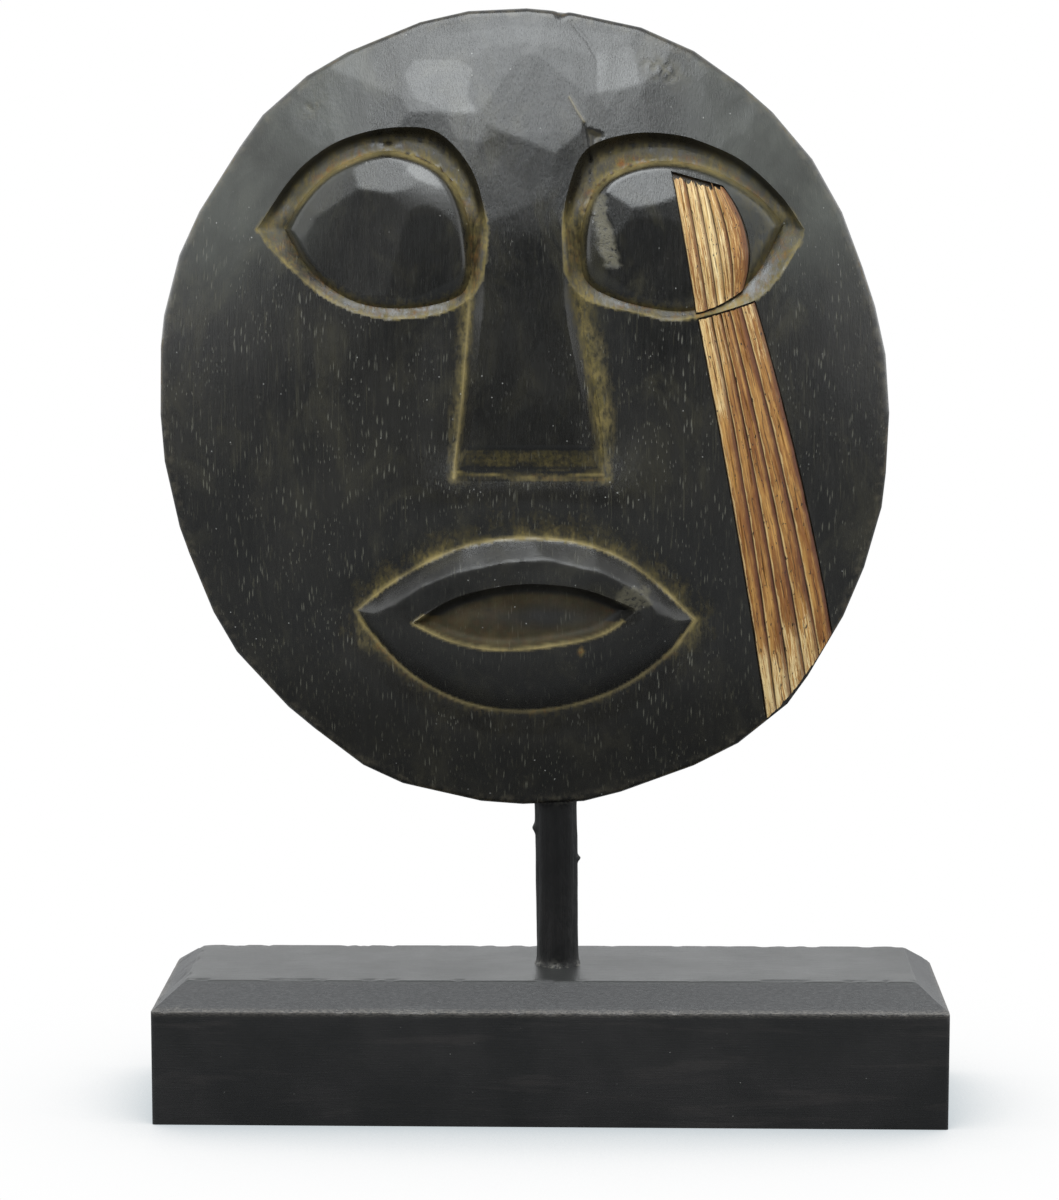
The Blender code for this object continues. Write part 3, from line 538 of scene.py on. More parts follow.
def relief(u, v):
    """Height of the finished face."""
    lids, balls, lip_in, slot_in = outlines(u, v)
    plain, furrow = plain_dome(u, v), cheek_furrow(u, v)
    open_face = dome(u, v) + furrow
    h = open_face
    for lid_in, ball_in in zip(lids, balls):
        h = np.where((lid_in > 0) & (ball_in < 0), open_face + eye_floor(lid_in, ball_in, v), h)
        raised = plain + furrow - socket_drop(v) + ball_rise(ball_in, v)
        h = np.where((lid_in > 0) & (ball_in >= 0), raised, h)
    on_ball = (balls[0] > 0.2) | (balls[1] > 0.2)
    h = planed(h, u, v, ball_surface, BALL_FACETS, reach=14, hollow=0.0004, region=on_ball)

    mouth_h = mouth(u, v, lip_in, slot_in)
    h = np.where(lip_in > 0, plain + mouth_h, h + mouth_h)
    on_lips = (lip_in > 0.25) & (slot_in < -0.4)
    h = planed(h, u, v, mouth_surface, LIP_FACETS, reach=12, hollow=0.003, region=on_lips)
    return nose(u, v, h) - small_marks(u, v)


def polish(u, v):
    total = np.zeros_like(u)
    ragged = 0.8 * uneven(u / 2.6, v / 2.6, 15)
    for outline, strength in POLISH:
        total += strength * smooth((inside(outline, u, v, 6) + ragged) / 0.9 + 0.5)
    lip_in = inside(lips_loop, u, v, 8)
    upper_lip = smooth((lip_in - 0.3) / 0.5) * smooth((v + 66.0) / 6.0)
    total += 1.5 * (layered(u / 9.0, v / 6.0, 19) - 0.56) * upper_lip
    away = np.maximum(-inside(NOSE_LOOP, u, v, 20), 0.0)
    total -= 0.65 * bell(away, 7.0) * smooth((2.0 - v) / 14.0) * smooth(away / 0.8)
    # The chin and the front of the nose are duller.
    total -= 0.8 * smooth((-66.0 - v) / 34.0) * (1 - smooth((lip_in + 1.0) / 2.0))
    across_nose = smooth((u + 16.0) / 3.0) * smooth((19.0 - u) / 3.0)
    total -= 0.5 * across_nose * smooth((v + 18.0) / 4.0) * smooth((58.0 - v) / 24.0)
    return np.clip(total, -0.8, 1.0)


def patch_share(u, v):
    total = np.zeros_like(u)
    ragged = uneven(u / 1.3, v / 1.3, 5)
    for outline, strength in PATCHES:
        share = smooth((inside(outline, u, v, 4) + 2.4 * ragged) / 1.4 + 0.5)
        total = np.maximum(total, strength * share)
    scuffs = 0.75 * spot(u, v, 42, 103.8, 6.5, 3.4, -28) + 0.6 * spot(u, v, -64, 93.2, 2.4, 4.6, -30)
    return np.maximum(total, scuffs * smooth(0.5 + 5.0 * ragged))


# ---------------------------------------------------------------- places from the CAD pieces

corners = rim_corners()
mask_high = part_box("mask_body")[1]
MASK_X = mask_high.x / MM - max(u for u, _ in corners)
MASK_Z = mask_high.z / MM - max(v for _, v in corners)
MASK_BOTTOM = MASK_Z - float(oval(math.radians(-90 + 4.6)))  # where the post enters
base_low, base_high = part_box("base_block")
BASE_LENGTH = (base_high.x - base_low.x) / MM
BASE_DEPTH = (base_high.y - base_low.y) / MM
post_low, post_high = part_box("post")
POST_X = 0.5 * (post_low.x + post_high.x) / MM
# The base's top face slopes with its sides.
BASE_TOP = base_high.z / MM - (BASE_SIDE[1] - BASE_SIDE[0]) * (0.5 - POST_X / BASE_LENGTH)


def place(u, v, h):
    """Mask coordinates to metres in the scene."""
    return np.stack([(MASK_X + u) * MM, -h * MM, (MASK_Z + v) * MM], -1)


# ---------------------------------------------------------------- mesh tools


def mesh_object(name, verts, faces, angle=40.0):
    """A smooth-shaded object, sharp where faces meet at more than `angle` degrees."""
    mesh = bpy.data.meshes.new(name)
    mesh.from_pydata([tuple(p) for p in verts], [], [tuple(f) for f in faces])
    mesh.validate()
    bm = bmesh.new()
    bm.from_mesh(mesh)
    bmesh.ops.recalc_face_normals(bm, faces=bm.faces)
    bm.to_mesh(mesh)
    bm.free()
    mesh.shade_smooth()
    if angle:
        mesh.set_sharp_from_angle(angle=math.radians(angle))
    obj = bpy.data.objects.new(name, mesh)
    bpy.context.scene.collection.objects.link(obj)
    return obj


def put_attributes(obj, **layers):
    for name, values in layers.items():
        made = obj.data.attributes.new(name, "FLOAT", "POINT")
        made.data.foreach_set("value", np.asarray(values, np.float32))


def positions(mesh):
    found = np.empty(len(mesh.vertices) * 3, np.float32)
    mesh.vertices.foreach_get("co", found)
    return found.reshape(-1, 3).astype(float)


def without_flaps(mesh):
    """The mesh as triangles, without pairs of faces back to back on the same three points."""
    mesh.calc_loop_triangles()
    tris = np.empty(3 * len(mesh.loop_triangles), dtype=np.int32)
    mesh.loop_triangles.foreach_get("vertices", tris)
    tris = tris.reshape(-1, 3)
    _, group, number = np.unique(
        np.sort(tris, axis=1), axis=0, return_inverse=True, return_counts=True
    )
    single = number[group.reshape(-1)] == 1
    if single.all():
        return mesh
    used, kept = np.unique(tris[single], return_inverse=True)
    clean = bpy.data.meshes.new(mesh.name)
    clean.from_pydata(positions(mesh)[used].tolist(), [], kept.reshape(-1, 3).tolist())
    bpy.data.meshes.remove(mesh)
    return clean


def subtract(obj, cutters, angle):
    """Takes the cutters out of obj and removes them."""
    for cutter in cutters:
        modifier = obj.modifiers.new("cut", "BOOLEAN")
        modifier.operation = "DIFFERENCE"
        modifier.solver = "MANIFOLD"
        modifier.object = cutter
    bpy.context.view_layer.update()
    graph = bpy.context.evaluated_depsgraph_get()
    mesh = without_flaps(bpy.data.meshes.new_from_object(obj.evaluated_get(graph)))
    obj.modifiers.clear()
    old = obj.data
    obj.data = mesh
    mesh.name = obj.name
    bpy.data.meshes.remove(old)
    for cutter in cutters:
        bpy.data.objects.remove(cutter, do_unlink=True)
    mesh.shade_smooth()
    mesh.set_sharp_from_angle(angle=math.radians(angle))


def register(obj, node):
    """Hides the CAD piece the object stands for and hangs the object on the root body."""
    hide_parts(node)
    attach(obj, "root")


def ring_faces(rings):
    """Quads between each closed ring of vertex numbers and the next."""
    faces = []
    for low, high in zip(rings, rings[1:]):
        for i in range(len(low)):
            j = (i + 1) % len(low)
            faces.append((low[i], low[j], high[j], high[i]))
    return faces


def cylinder(name, x, z_low, z_high, radius, sides=48):
    angles = 2 * np.pi * np.arange(sides) / sides
    verts = [
        (x + radius * math.cos(a), radius * math.sin(a), z) for z in (z_low, z_high) for a in angles
    ]
    rings = [range(sides), range(sides, 2 * sides)]
    return mesh_object(name, np.array(verts) * MM, ring_faces(rings) + rings)


def slab(name, point, across, length):
    """A closed strip from point(w, s, level): w across, s along, level 0 below and 1 on top."""
    w, s = np.meshgrid(np.linspace(0, 1, across + 1), np.linspace(0, 1, length + 1), indexing="ij")
    w, s = w.ravel(), s.ravel()
    count, row = len(w), length + 1
    faces = []
    for level in (0, count):
        for i in range(across):
            for j in range(length):
                a = level + i * row + j
                faces.append((a, a + row, a + row + 1, a + 1))
    for i in (0, across):
        for j in range(length):
            a = i * row + j
            faces.append((a, a + 1, a + 1 + count, a + count))
    for j in (0, length):
        for i in range(across):
            a = i * row + j
            faces.append((a, a + row, a + row + count, a + count))
    return mesh_object(name, np.concatenate([point(w, s, 0), point(w, s, 1)]), faces), w, s


# ---------------------------------------------------------------- bands of rods
# In a band w runs across it and s down it, both 0 to 1.


def cheek_point(w, s):
    """From under the right eye down to the rim."""
    (left_u, left_v), (right_u, right_v) = CHEEK_TOP
    top_u, top_v = lerp(left_u, right_u, w), lerp(left_v, right_v, w) - w * (1 - w)
    angle = np.radians(lerp(*CHEEK_END_ANGLES, w))
    radius = oval(angle) - 0.9
    bow = 4 * s * (1 - s) * lerp(*CHEEK_BOW, w)
    return lerp(top_u, radius * np.cos(angle), s) + bow, lerp(top_v, radius * np.sin(angle), s)


def eye_point(w, s):
    """From the upper to the lower lid of the right eye."""
    top_u, top_v = (lerp(a, b, w) for a, b in zip(*EYE_TOP))
    end_u, end_v = (lerp(a, b, w) for a, b in zip(*EYE_BOTTOM))
    end_v = end_v - 4.4 * w * (1 - w)
    held = np.clip(s, 0, 1)
    bow = 4 * held * (1 - held) * lerp(*EYE_BOW, np.maximum(w, 0.0) ** 4)
    return lerp(top_u, end_u, s) + bow, lerp(top_v, end_v, s)


def cheek_crest(u, v, s):
    return plain_dome(u, v) + ROD_PROUD


def eye_crest(u, v, s):
    return plain_dome(u, v) + 0.6 + 1.3 * swell(s / 0.3) - 1.9 * smooth((s - 0.62) / 0.38)


def seat(name, band, crest, first, last, top):
    """Cutter for the recess a band of rods is glued into."""
    side = GAP / 19.0

    def point(w, s, level):
        reach = lerp(first, last, s)
        u, v = band(lerp(-side, 1 + side, w), reach)
        h = crest(u, v, np.clip(reach, 0, 1))
        return place(u, v, h + top if level else h - ROD_THICKNESS - GAP)

    return slab(name, point, 12, 60)[0]


# Each band: place, height, splits at the top and at the end, length, first seed
BANDS = {
    "cheek": (cheek_point, cheek_crest, CHEEK_SPLITS_TOP, CHEEK_SPLITS_END, CHEEK_LENGTH, 100),
    "eye": (eye_point, eye_crest, EYE_SPLITS, EYE_SPLITS, EYE_LENGTH, 150),
}


def fine_rod(kind, index):
    band, crest, splits_top, splits_end, length, first_seed = BANDS[kind]
    seed = first_seed + 13 * index
    inset = 0.05 * GAP / 17.5

    def point(w, s, level):
        # Ragged ends: the fibres stop at slightly different places.
        torn = layered(w * 5.5, 1.5, seed, 2)
        if kind == "eye":
            start, short = 1.6 + 4.6 * (torn - 0.5), 0.1 + 0.5 * torn
        else:
            start, short = 0.1 + 0.5 * torn, 0.1 + 0.9 * torn
        reach = lerp(start / length, 1 - short / length, s)
        run = reach * length
        # Split cane has slightly wavy edges.
        wave = 0.022 * uneven(run / 9.0, 3.5, seed + 1, 2)
        left = lerp(splits_top[index], splits_end[index], reach)
        left = left - inset + np.maximum(wave, -0.0005)
        right = lerp(splits_top[index + 1], splits_end[index + 1], reach)
        right = right + inset + np.minimum(-wave, 0.0005)
        u, v = band(lerp(left, right, w), reach)
        if not level:
            return place(u, v, crest(u, v, reach) - ROD_THICKNESS)
        h = crest(u, v, reach) - 0.75 * np.abs(2.0 * w - 1.0) ** 3.0
        fibres = 0.16 * uneven(w * 7.0, run / 16.0, seed + 2)
        lumps = 0.22 * uneven(w * 1.2, run / 7.0, seed + 3, 2)
        groove_at = 0.5 + 0.6 * (noise(run / 22.0, 0.5, seed + 4) - 0.5)
        open_share = smooth((noise(run / 12.0, 7.5, seed + 5) - 0.45) / 0.2)
        h += fibres + lumps - 0.42 * bell(w - groove_at, 0.045) * open_share
        if kind == "cheek":
            # Whittled thin where the rods run out at the rim.
            last_part = smooth((reach - 0.90) / 0.10)
            h -= last_part * (0.2 + 0.35 * noise(w * 4.0, reach * 40.0, seed + 6))
        else:
            h -= 0.3 * smooth((0.06 - reach) / 0.06)
        return place(u, v, h)

    obj, w, s = slab(f"{kind}_cane_{index + 1}", point, 16, int(length / ROD_STEP))
    s_all = np.concatenate([s, s])
    end = s_all.astype(np.float32)
    if kind == "cheek":
        top_bare, top_reach, end_bare, end_from = CHEEK_BARE[index]
        bare = np.maximum(
            top_bare * smooth((top_reach - end) / 0.2), end_bare * smooth((end - end_from) / 0.16)
        )
    else:
        bare = np.full(len(end), EYE_BARE[index])
    put_attributes(
        obj,
        across=np.concatenate([w, w]),
        along=s_all * length,
        top=np.repeat([0.0, 1.0], len(w)),
        number=np.full(len(end), seed * 1.7),
        end=end,
        bare=bare,
    )
    register(obj, f"{kind}_rod_{index + 1}")
    return obj


# ---------------------------------------------------------------- the mask


def line_between(points, spacing=0.7):
    """Points along an open line, about `spacing` apart."""
    found = []
    for start, end in zip(points, points[1:]):
        count = max(1, int(math.dist(start, end) / spacing))
        found += [
            (lerp(start[0], end[0], k / count), lerp(start[1], end[1], k / count))
            for k in range(count)
        ]
    return found + [points[-1]]


def offset_line(points, away):
    """The same open line, moved sideways."""
    found = []
    for i, (x, y) in enumerate(points):
        before, after = points[max(i - 1, 0)], points[min(i + 1, len(points) - 1)]
        step_x, step_y = after[0] - before[0], after[1] - before[1]
        length = math.hypot(step_x, step_y)
        found.append((x - step_y / length * away, y + step_x / length * away))
    return found


def feature_chains():
    """Lines the face mesh has to follow: (points, whether closed)."""
    loops = [loop for eye in EYES for loop in eye] + [lips_loop, slot_loop]
    chains = [(line_between(loop + loop[:1])[:-1], True) for loop in loops]
    for table, foot in (
        (NOSE_FRONT_LEFT, NOSE_BEVEL_V), (NOSE_FRONT_RIGHT, NOSE_BEVEL_V),
        (NOSE_CREASE_LEFT, NOSE_FOOT_V), (NOSE_CREASE_RIGHT, NOSE_FOOT_V),
    ):
        stations = np.arange(58.0, foot, -0.7).tolist() + [foot]
        chains.append(([(float(along(table, v)), v) for v in stations], False))
    for v, left_table, right_table in (
        (NOSE_TIP_V, NOSE_FRONT_LEFT, NOSE_FRONT_RIGHT),
        (NOSE_BEVEL_V, NOSE_FRONT_LEFT, NOSE_FRONT_RIGHT),
        (NOSE_FOOT_V, NOSE_CREASE_LEFT, NOSE_CREASE_RIGHT),
    ):
        left, right = float(along(left_table, v)), float(along(right_table, v))
        count = int((right - left) / 0.7)
        chains.append(([(lerp(left, right, k / count), v) for k in range(count + 1)], False))
    for line, half in ((NOTCH, 0.8), (CHECK, 0.5), (SCRATCH, 0.4)):
        fine = line_between(line, 0.6)
        chains += [(fine, False), (offset_line(fine, half), False), (offset_line(fine, -half), False)]
    return chains + [(line_between(CHIP + CHIP[:1])[:-1], True)]


def face_sheet(edge):
    """Triangulated face inside the edge ring: points (u, v) and faces."""
    points, edges = [], []
    for chain, closed in [(edge, True)] + feature_chains():
        start, count = len(points), len(chain)
        points += [tuple(p) for p in chain]
        edges += [
            (start + i, start + (i + 1) % count) for i in range(count if closed else count - 1)
        ]
    tree = KDTree(len(points))
    for i, (u, v) in enumerate(points):
        tree.insert((u, v, 0), i)
    tree.balance()
    # Fill with a triangular grid that keeps clear of the lines.
    step = 0.86
    row_height = step * 0.866
    rows = int(126 / row_height)
    for row in range(-rows, rows + 1):
        v = row * step * 0.866
        grid = (np.arange(-135, 136) + 0.5 * (row % 2)) * step
        within = np.hypot(grid, v) < oval(np.arctan2(v, grid)) - RIM_ROUND - 1.0
        points += [(float(u), v) for u in grid[within] if tree.find((u, v, 0))[2] > 0.42]
    flat, _, faces, *_ = delaunay_2d_cdt([Vector(p) for p in points], edges, [], 1, 1e-4)
    return np.array([(p.x, p.y) for p in flat]), [tuple(f) for f in faces]


def build_mask():
    per_flat = 20
    ring = np.array([
        (lerp(u, next_u, k / per_flat), lerp(v, next_v, k / per_flat))
        for (u, v), (next_u, next_v) in zip(corners, corners[1:] + corners[:1])
        for k in range(per_flat)
    ])
    count = len(ring)
    radius = np.hypot(ring[:, 0], ring[:, 1])
    turn = np.arctan2(ring[:, 1], ring[:, 0]) * 115  # millimetres round the rim
    # A small chip out of the upper edge, and slight unevenness of the knife work.
    chip = bell(ring[:, 0] - 11.4, 1.7) * (ring[:, 1] > 0)
    rounding = RIM_ROUND + 0.5 * uneven(ring[:, 0] / 4.0 + 40, ring[:, 1] / 4.0 + 40, 3)

    def scaled(inset):
        return ring * ((radius - inset) / radius)[:, None]

    flat, faces = face_sheet(scaled(rounding + 0.9 * chip))
    h = relief(flat[:, 0], flat[:, 1])
    verts = [place(flat[:, 0], flat[:, 1], h)]
    edge_h = h[:count]

    def add_ring(points, heights):
        start = sum(len(part) for part in verts)
        verts.append(place(points[:, 0], points[:, 1], heights))
        return list(range(start, start + len(points)))

    # The softened front edge, the knife-flat side and the back edge.
    rings = [list(range(count))]
    for k in range(1, 5):
        angle = 0.5 * math.pi * k / 4
        inset = rounding * (1 - math.sin(angle)) + chip * lerp(0.9, 0.55, k / 4)
        heights = lerp(RIM_FRONT - 2.4, edge_h, math.cos(angle)) - 0.4 * chip
        rings.append(add_ring(scaled(inset), heights))
    side_marks = uneven(turn / 9.0, 2.5, 11, 2)
    for inset, level in (
        (0.06, 6.2), (0.12, 3.4), (0.2, 0.4), (0.3, -3.0), (0.6, -6.0), (1.0, -8.4), (1.7, -9.5),
    ):
        marks = 0.34 * (layered(turn / 6.0, level / 5.0, 23, 2) - 0.45)
        inset = inset + np.clip(marks, 0, 1) + chip * 0.5 * (level > 5)
        rings.append(add_ring(scaled(inset), level + 0.5 * side_marks * (level < -5)))
    faces += ring_faces(rings)

    # The hollowed back: every third point of the rim goes on.
    coarse = ring[::3]
    back_rings = []
    for share in np.concatenate([[0.978, 0.955], np.arange(0.92, 0.06, -0.042)]):
        points = coarse * share + np.array([0, 8 * (1 - share)])
        carved = scallops(points[:, 0], points[:, 1], seed=31, count=260, size=17.0, depth=0.9)
        level = np.interp(
            share, [0.0, 0.28, 0.55, 0.71, 0.78, 1.0], [-4.0, -4.0, -4.7, -6.6, -10.0, -10.0]
        )
        back_rings.append(add_ring(points, level + (1.0 if share < 0.76 else 0.35) * carved))
    outer, first = rings[-1], back_rings[0]
    for i in range(len(coarse)):
        fine = [outer[k % count] for k in range(3 * i, min(3 * i + 3, count) + 1)]
        here, following = first[i], first[(i + 1) % len(coarse)]
        faces += [(fine[0], fine[1], here), (fine[1], following, here)]
        faces += [(p, q, following) for p, q in zip(fine[1:], fine[2:])]
    faces += ring_faces(back_rings)
    faces.append(tuple(back_rings[-1]))
    obj = mesh_object("carved_mask", np.concatenate(verts), faces, None)

    bore = cylinder("bore", POST_X, MASK_BOTTOM - 12, post_high.z / MM + GAP, BORE_RADIUS)
    end_gap = GAP / EYE_LENGTH
    seats = [
        seat("seat_a", cheek_point, cheek_crest, first=-GAP / 130.0, last=1.04, top=9.0),
        seat("seat_b", eye_point, eye_crest, first=-end_gap, last=1.0 + end_gap, top=6.0),
    ]
    subtract(obj, [bore] + seats, angle=42)
    paint_mask(obj)
    return obj


# ---------------------------------------------------------------- paint on the mask
# stains = (ochre, pale, dark, orange) layers changed in place, where pale also holds painted
# highlights along crisp edges and dark also holds painted shade;
# grains = (wander, cloudy, streak) noises shared by all of them.


def lay(layer, amount):
    """Raises a stain layer to at least the amount."""
    np.maximum(layer, amount, out=layer)


def paint_eyes(u, v, lids, balls, stains, grains):
    ochre, pale, dark, orange = stains
    wander, cloudy, streak = grains
    upper = smooth((v - 56) / 11)
    inner_ends = (smooth((u + 24.0) / 8.0), smooth((26.0 - u) / 8.0))
    outer_ends = (0.0, smooth((np.abs(u) - 58.0) / 10.0))
    for lid_in, ball_in, inner, outer in zip(lids, balls, inner_ends, outer_ends):
        band = (lid_in > -0.3) & (ball_in < 0.4)
        share = np.clip(lid_in / np.maximum(lid_in - ball_in, 1e-6), 0, 1)
        high = np.interp(
            share, [0, 0.12, 0.3, 0.5, 0.75, 0.92, 1.0], [0.03, 0.08, 0.42, 0.70, 0.74, 1.05, 0.9]
        )
        low = np.interp(share, [0, 0.12, 0.3, 0.7, 0.9, 1.0], [1.0, 1.02, 0.76, 0.53, 0.52, 0.55])
        amount = lerp(low + 0.25 * inner, high, upper) * (0.75 + 0.9 * (cloudy - 0.45))
        lay(ochre, band * (amount + 0.5 * wander + 0.7 * streak))
        # Painted shade: the steep wall under each upper lid is darkened as if in the lid's own
        # shadow.
        lay(dark, band * upper * np.interp(share, [0, 0.04, 0.18, 0.42], [0.3, 1, 0.9, 0]))
        # Pale ochre line along the lower lid edge, partly a painted highlight on the crisp edge.
        lid_line = near(np.abs(lid_in - 0.25), 0.6)
        lay(pale, band * (1 - upper) * lid_line * (0.34 + 0.9 * wander))
        # The edge of the eyeball, with a pale line that is partly a painted highlight, and the wash
        # that spreads in over it.
        ring = bell(ball_in - 0.3, 1.0) * (lid_in > 1.0)
        lay(ochre, ring * lerp(0.70, 1.05, upper) * (0.9 + 0.6 * wander))
        lay(pale, ring * upper * (0.42 + 0.9 * wander))
        wash = lerp(0.62, 0.10, upper) * fade(ball_in, 1.3) + 0.5 * outer * fade(ball_in, 6.0)
        wash += 0.13 * fade(ball_in, 9.0) * smooth((52 - v) / 20)
        lay(ochre, (ball_in > 0) * wash * (1 + 0.3 * wander))
        blotches = smooth(0.5 + 3.0 * uneven(u / 6.0, v / 4.0, 74))
        lay(orange, band * (1 - upper) * 0.5 * smooth((share - 0.12) / 0.2) * blotches)
        blotches = smooth(0.5 + 3.0 * (layered(u / 6.0, v / 4.0, 71) - 0.55))
        lay(orange, band * upper * smooth((share - 0.55) / 0.3) * blotches)
    orange += (lids[0] > 0) * 0.9 * spot(u, v, -52, 78.0, 5, 2.2, 25)


def paint_nose(u, v, stains, grains):
    ochre, pale, _, orange = stains
    wander, _, streak = grains
    in_nose = (u > along(NOSE_CREASE_LEFT, v)) & (u < along(NOSE_CREASE_RIGHT, v))
    in_nose &= v > NOSE_FOOT_V
    # Inner sides of the sockets run down into the nose creases. Each crease: table, stations v,
    # strength, width on the nose, width on the cheek at the foot and higher up.
    falls = smooth((44 - v) / 10)
    aways = []
    for table, stations, strength, nose_width, foot_width, high_width in (
        (NOSE_CREASE_LEFT, (42, 30, 18, 5, -8, -19), 0.85, 1.6, 1.8, 3.2),
        (NOSE_CREASE_RIGHT, (42, 30, 23.5, 8.5, -6, -19), 0.95, 2.4, 2.2, 4.4),
    ):
        away, _ = to_line([(along(table, q), q) for q in stations], u, v)
        cheek_width = lerp(foot_width, high_width, smooth((v + 18) / 16))
        wash = bell(away, np.where(in_nose, nose_width, cheek_width))
        lay(ochre, falls * strength * wash * (0.9 + wander + streak) * (v > -24))
        aways.append(away)
    # Thin pale line in the left crease, partly a painted highlight on its edge.
    lay(pale, falls * 0.9 * near(aways[0], 0.8) * (0.7 + 0.8 * wander) * (v > -20))
    # The underside, the foot, the bevel, and the cheek just below.
    under = smooth((NOSE_BEVEL_V - 0.9 - v) / 1.4) * smooth((v - NOSE_FOOT_V + 0.9) / 0.6)
    under = under * in_nose * lerp(0.35, 1.0, smooth((u + 12.0) / 22.0))
    lay(ochre, under * (0.60 + 1.6 * wander + streak))
    layers = uneven(u / 11.0, v / 0.8, 78)
    foot_line = near(np.abs(v - NOSE_FOOT_V - 1.7), 2.6) * in_nose
    lay(ochre, foot_line * (0.78 + 2.6 * layers + wander))
    lay(pale, foot_line * np.clip(0.05 + 3.2 * layers, 0, 0.55))
    bevel = smooth((-9.8 - v) / 0.9) * smooth((v - NOSE_BEVEL_V) / 0.8) * in_nose
    lay(ochre, bevel * (0.50 + 0.5 * wander + 0.3 * layers))
    below = near(NOSE_FOOT_V - v, 5.0) * (v < NOSE_FOOT_V) * smooth((24 - np.abs(u - 2)) / 4)
    lay(ochre, 0.26 * below * (0.8 + wander + streak))
    orange += 0.55 * under * smooth(0.5 + 3.5 * uneven(u / 5.0, v / 2.0, 72))


def paint_mouth(u, v, lip_in, slot_in, stains, grains):
    """Stains round the mouth; returns where the wood is dull on the upper lip's crest."""
    ochre, pale, _, orange = stains
    wander, cloudy, streak = grains
    halo = fade(-lip_in, lerp(4.4, 2.4, smooth((-70 - v) / 8))) * (lip_in < 0.6)
    halo = halo * lerp(1.0, 0.62, smooth((-68 - v) / 10))
    lay(ochre, halo * (0.66 + 1.3 * (cloudy - 0.5) + 0.8 * wander + 0.8 * streak))
    grain = smooth((layered(u / 1.1, v / 14.0, 64) - 0.5) / 0.25)
    reach = fade(-lip_in, 9.0) * smooth((v + 60) / 10) * grain * (lip_in < 0)
    lay(ochre, 0.55 * reach * smooth((34 - np.abs(u - 4)) / 16))
    # Pale ochre line along the lip outline, partly a painted highlight on its edge.
    lay(pale, near(np.abs(lip_in + 0.15), 0.85) * (0.62 + 0.9 * wander))
    blotches = smooth((layered(u / 5.0, v / 3.0, 73) - 0.45) / 0.15)
    orange += near(np.abs(lip_in + 0.6), 1.8) * smooth((-66 - v) / 8) * blotches * 0.9
    # The floor of the slot, barer in its middle.
    middle = mouth_middle(u)
    floor = np.where(v < middle - 0.5, 0.50, lerp(0.06, 0.50, smooth((slot_in - 2.0) / 2.4)))
    floor = floor * (1 - 0.72 * spot(u, v, 6.5, -61.8, 19, 4.8)) + 0.12 * wander
    ochre[:] = np.where(slot_in > 0, np.clip(floor, 0, 1.2), ochre)
    # Pale line on the slot's lower edge, partly a painted highlight on the crisp edge.
    lay(pale, (v < middle) * near(np.abs(slot_in - 0.1), 0.8) * (0.55 + 0.9 * wander))
    orange += 0.8 * spot(u, v, 28.1, -59.3, 3.5, 1.5) * (slot_in > 0) + 0.30 * (slot_in > 0.8)
    fleck = 0.8 * spot(u, v, 17.8, -72.0, 1.3, 1.6)
    lay(ochre, fleck)
    orange += fleck
    crest = np.clip(lip_in, 0, None) / np.maximum(lip_in - slot_in, 1e-6)
    on_lip = (lip_in > 0) & (slot_in < 0)
    return bell(crest - 0.46, 0.13) * on_lip * smooth((v - middle) / 3.0)


def paint_marks(u, v, stains, wander):
    ochre, pale, dark, orange = stains
    # The strip of lid between the two bands of rods keeps a tan smear.
    distance, _ = to_line([(51.6, 30.2), (56.0, 30.6), (61.5, 32.3), (67.5, 35.8)], u, v)
    strip = smooth((1.4 - distance) / 0.6) * smooth((u - 50.8) / 1.5)
    lay(ochre, 1.1 * strip)
    lay(pale, strip * (0.35 + 1.2 * wander))
    orange += 0.4 * strip
    dark *= 1 - strip
    # Pupils, worm hole and knife marks: dark pupils, and painted shade in the depths of the worm
    # hole, the notch and the check.
    lay(dark, 0.8 * smooth((8.4 - np.hypot(u + 29.5, v - 53.0)) / 1.6))
    lay(dark, 0.8 * smooth((7.2 - np.hypot(u - 37.5, v - 51.5)) / 1.6))
    lay(dark, spot(u, v, -41.2, 81.9, 2.2, 0.55, 3))
    lay(dark, 0.2 * near(to_line(NOTCH, u, v)[0], 0.7))
    lay(ochre, 0.28 * smooth(inside(CHIP, u, v, 6) / 0.5))
    lay(pale, 0.35 * near(to_line(SCRATCH, u, v)[0], 0.55))
    distance, share = to_line(CHECK, u, v)
    lay(dark, 0.22 * near(distance, 0.35) * smooth((0.55 - share) / 0.3))


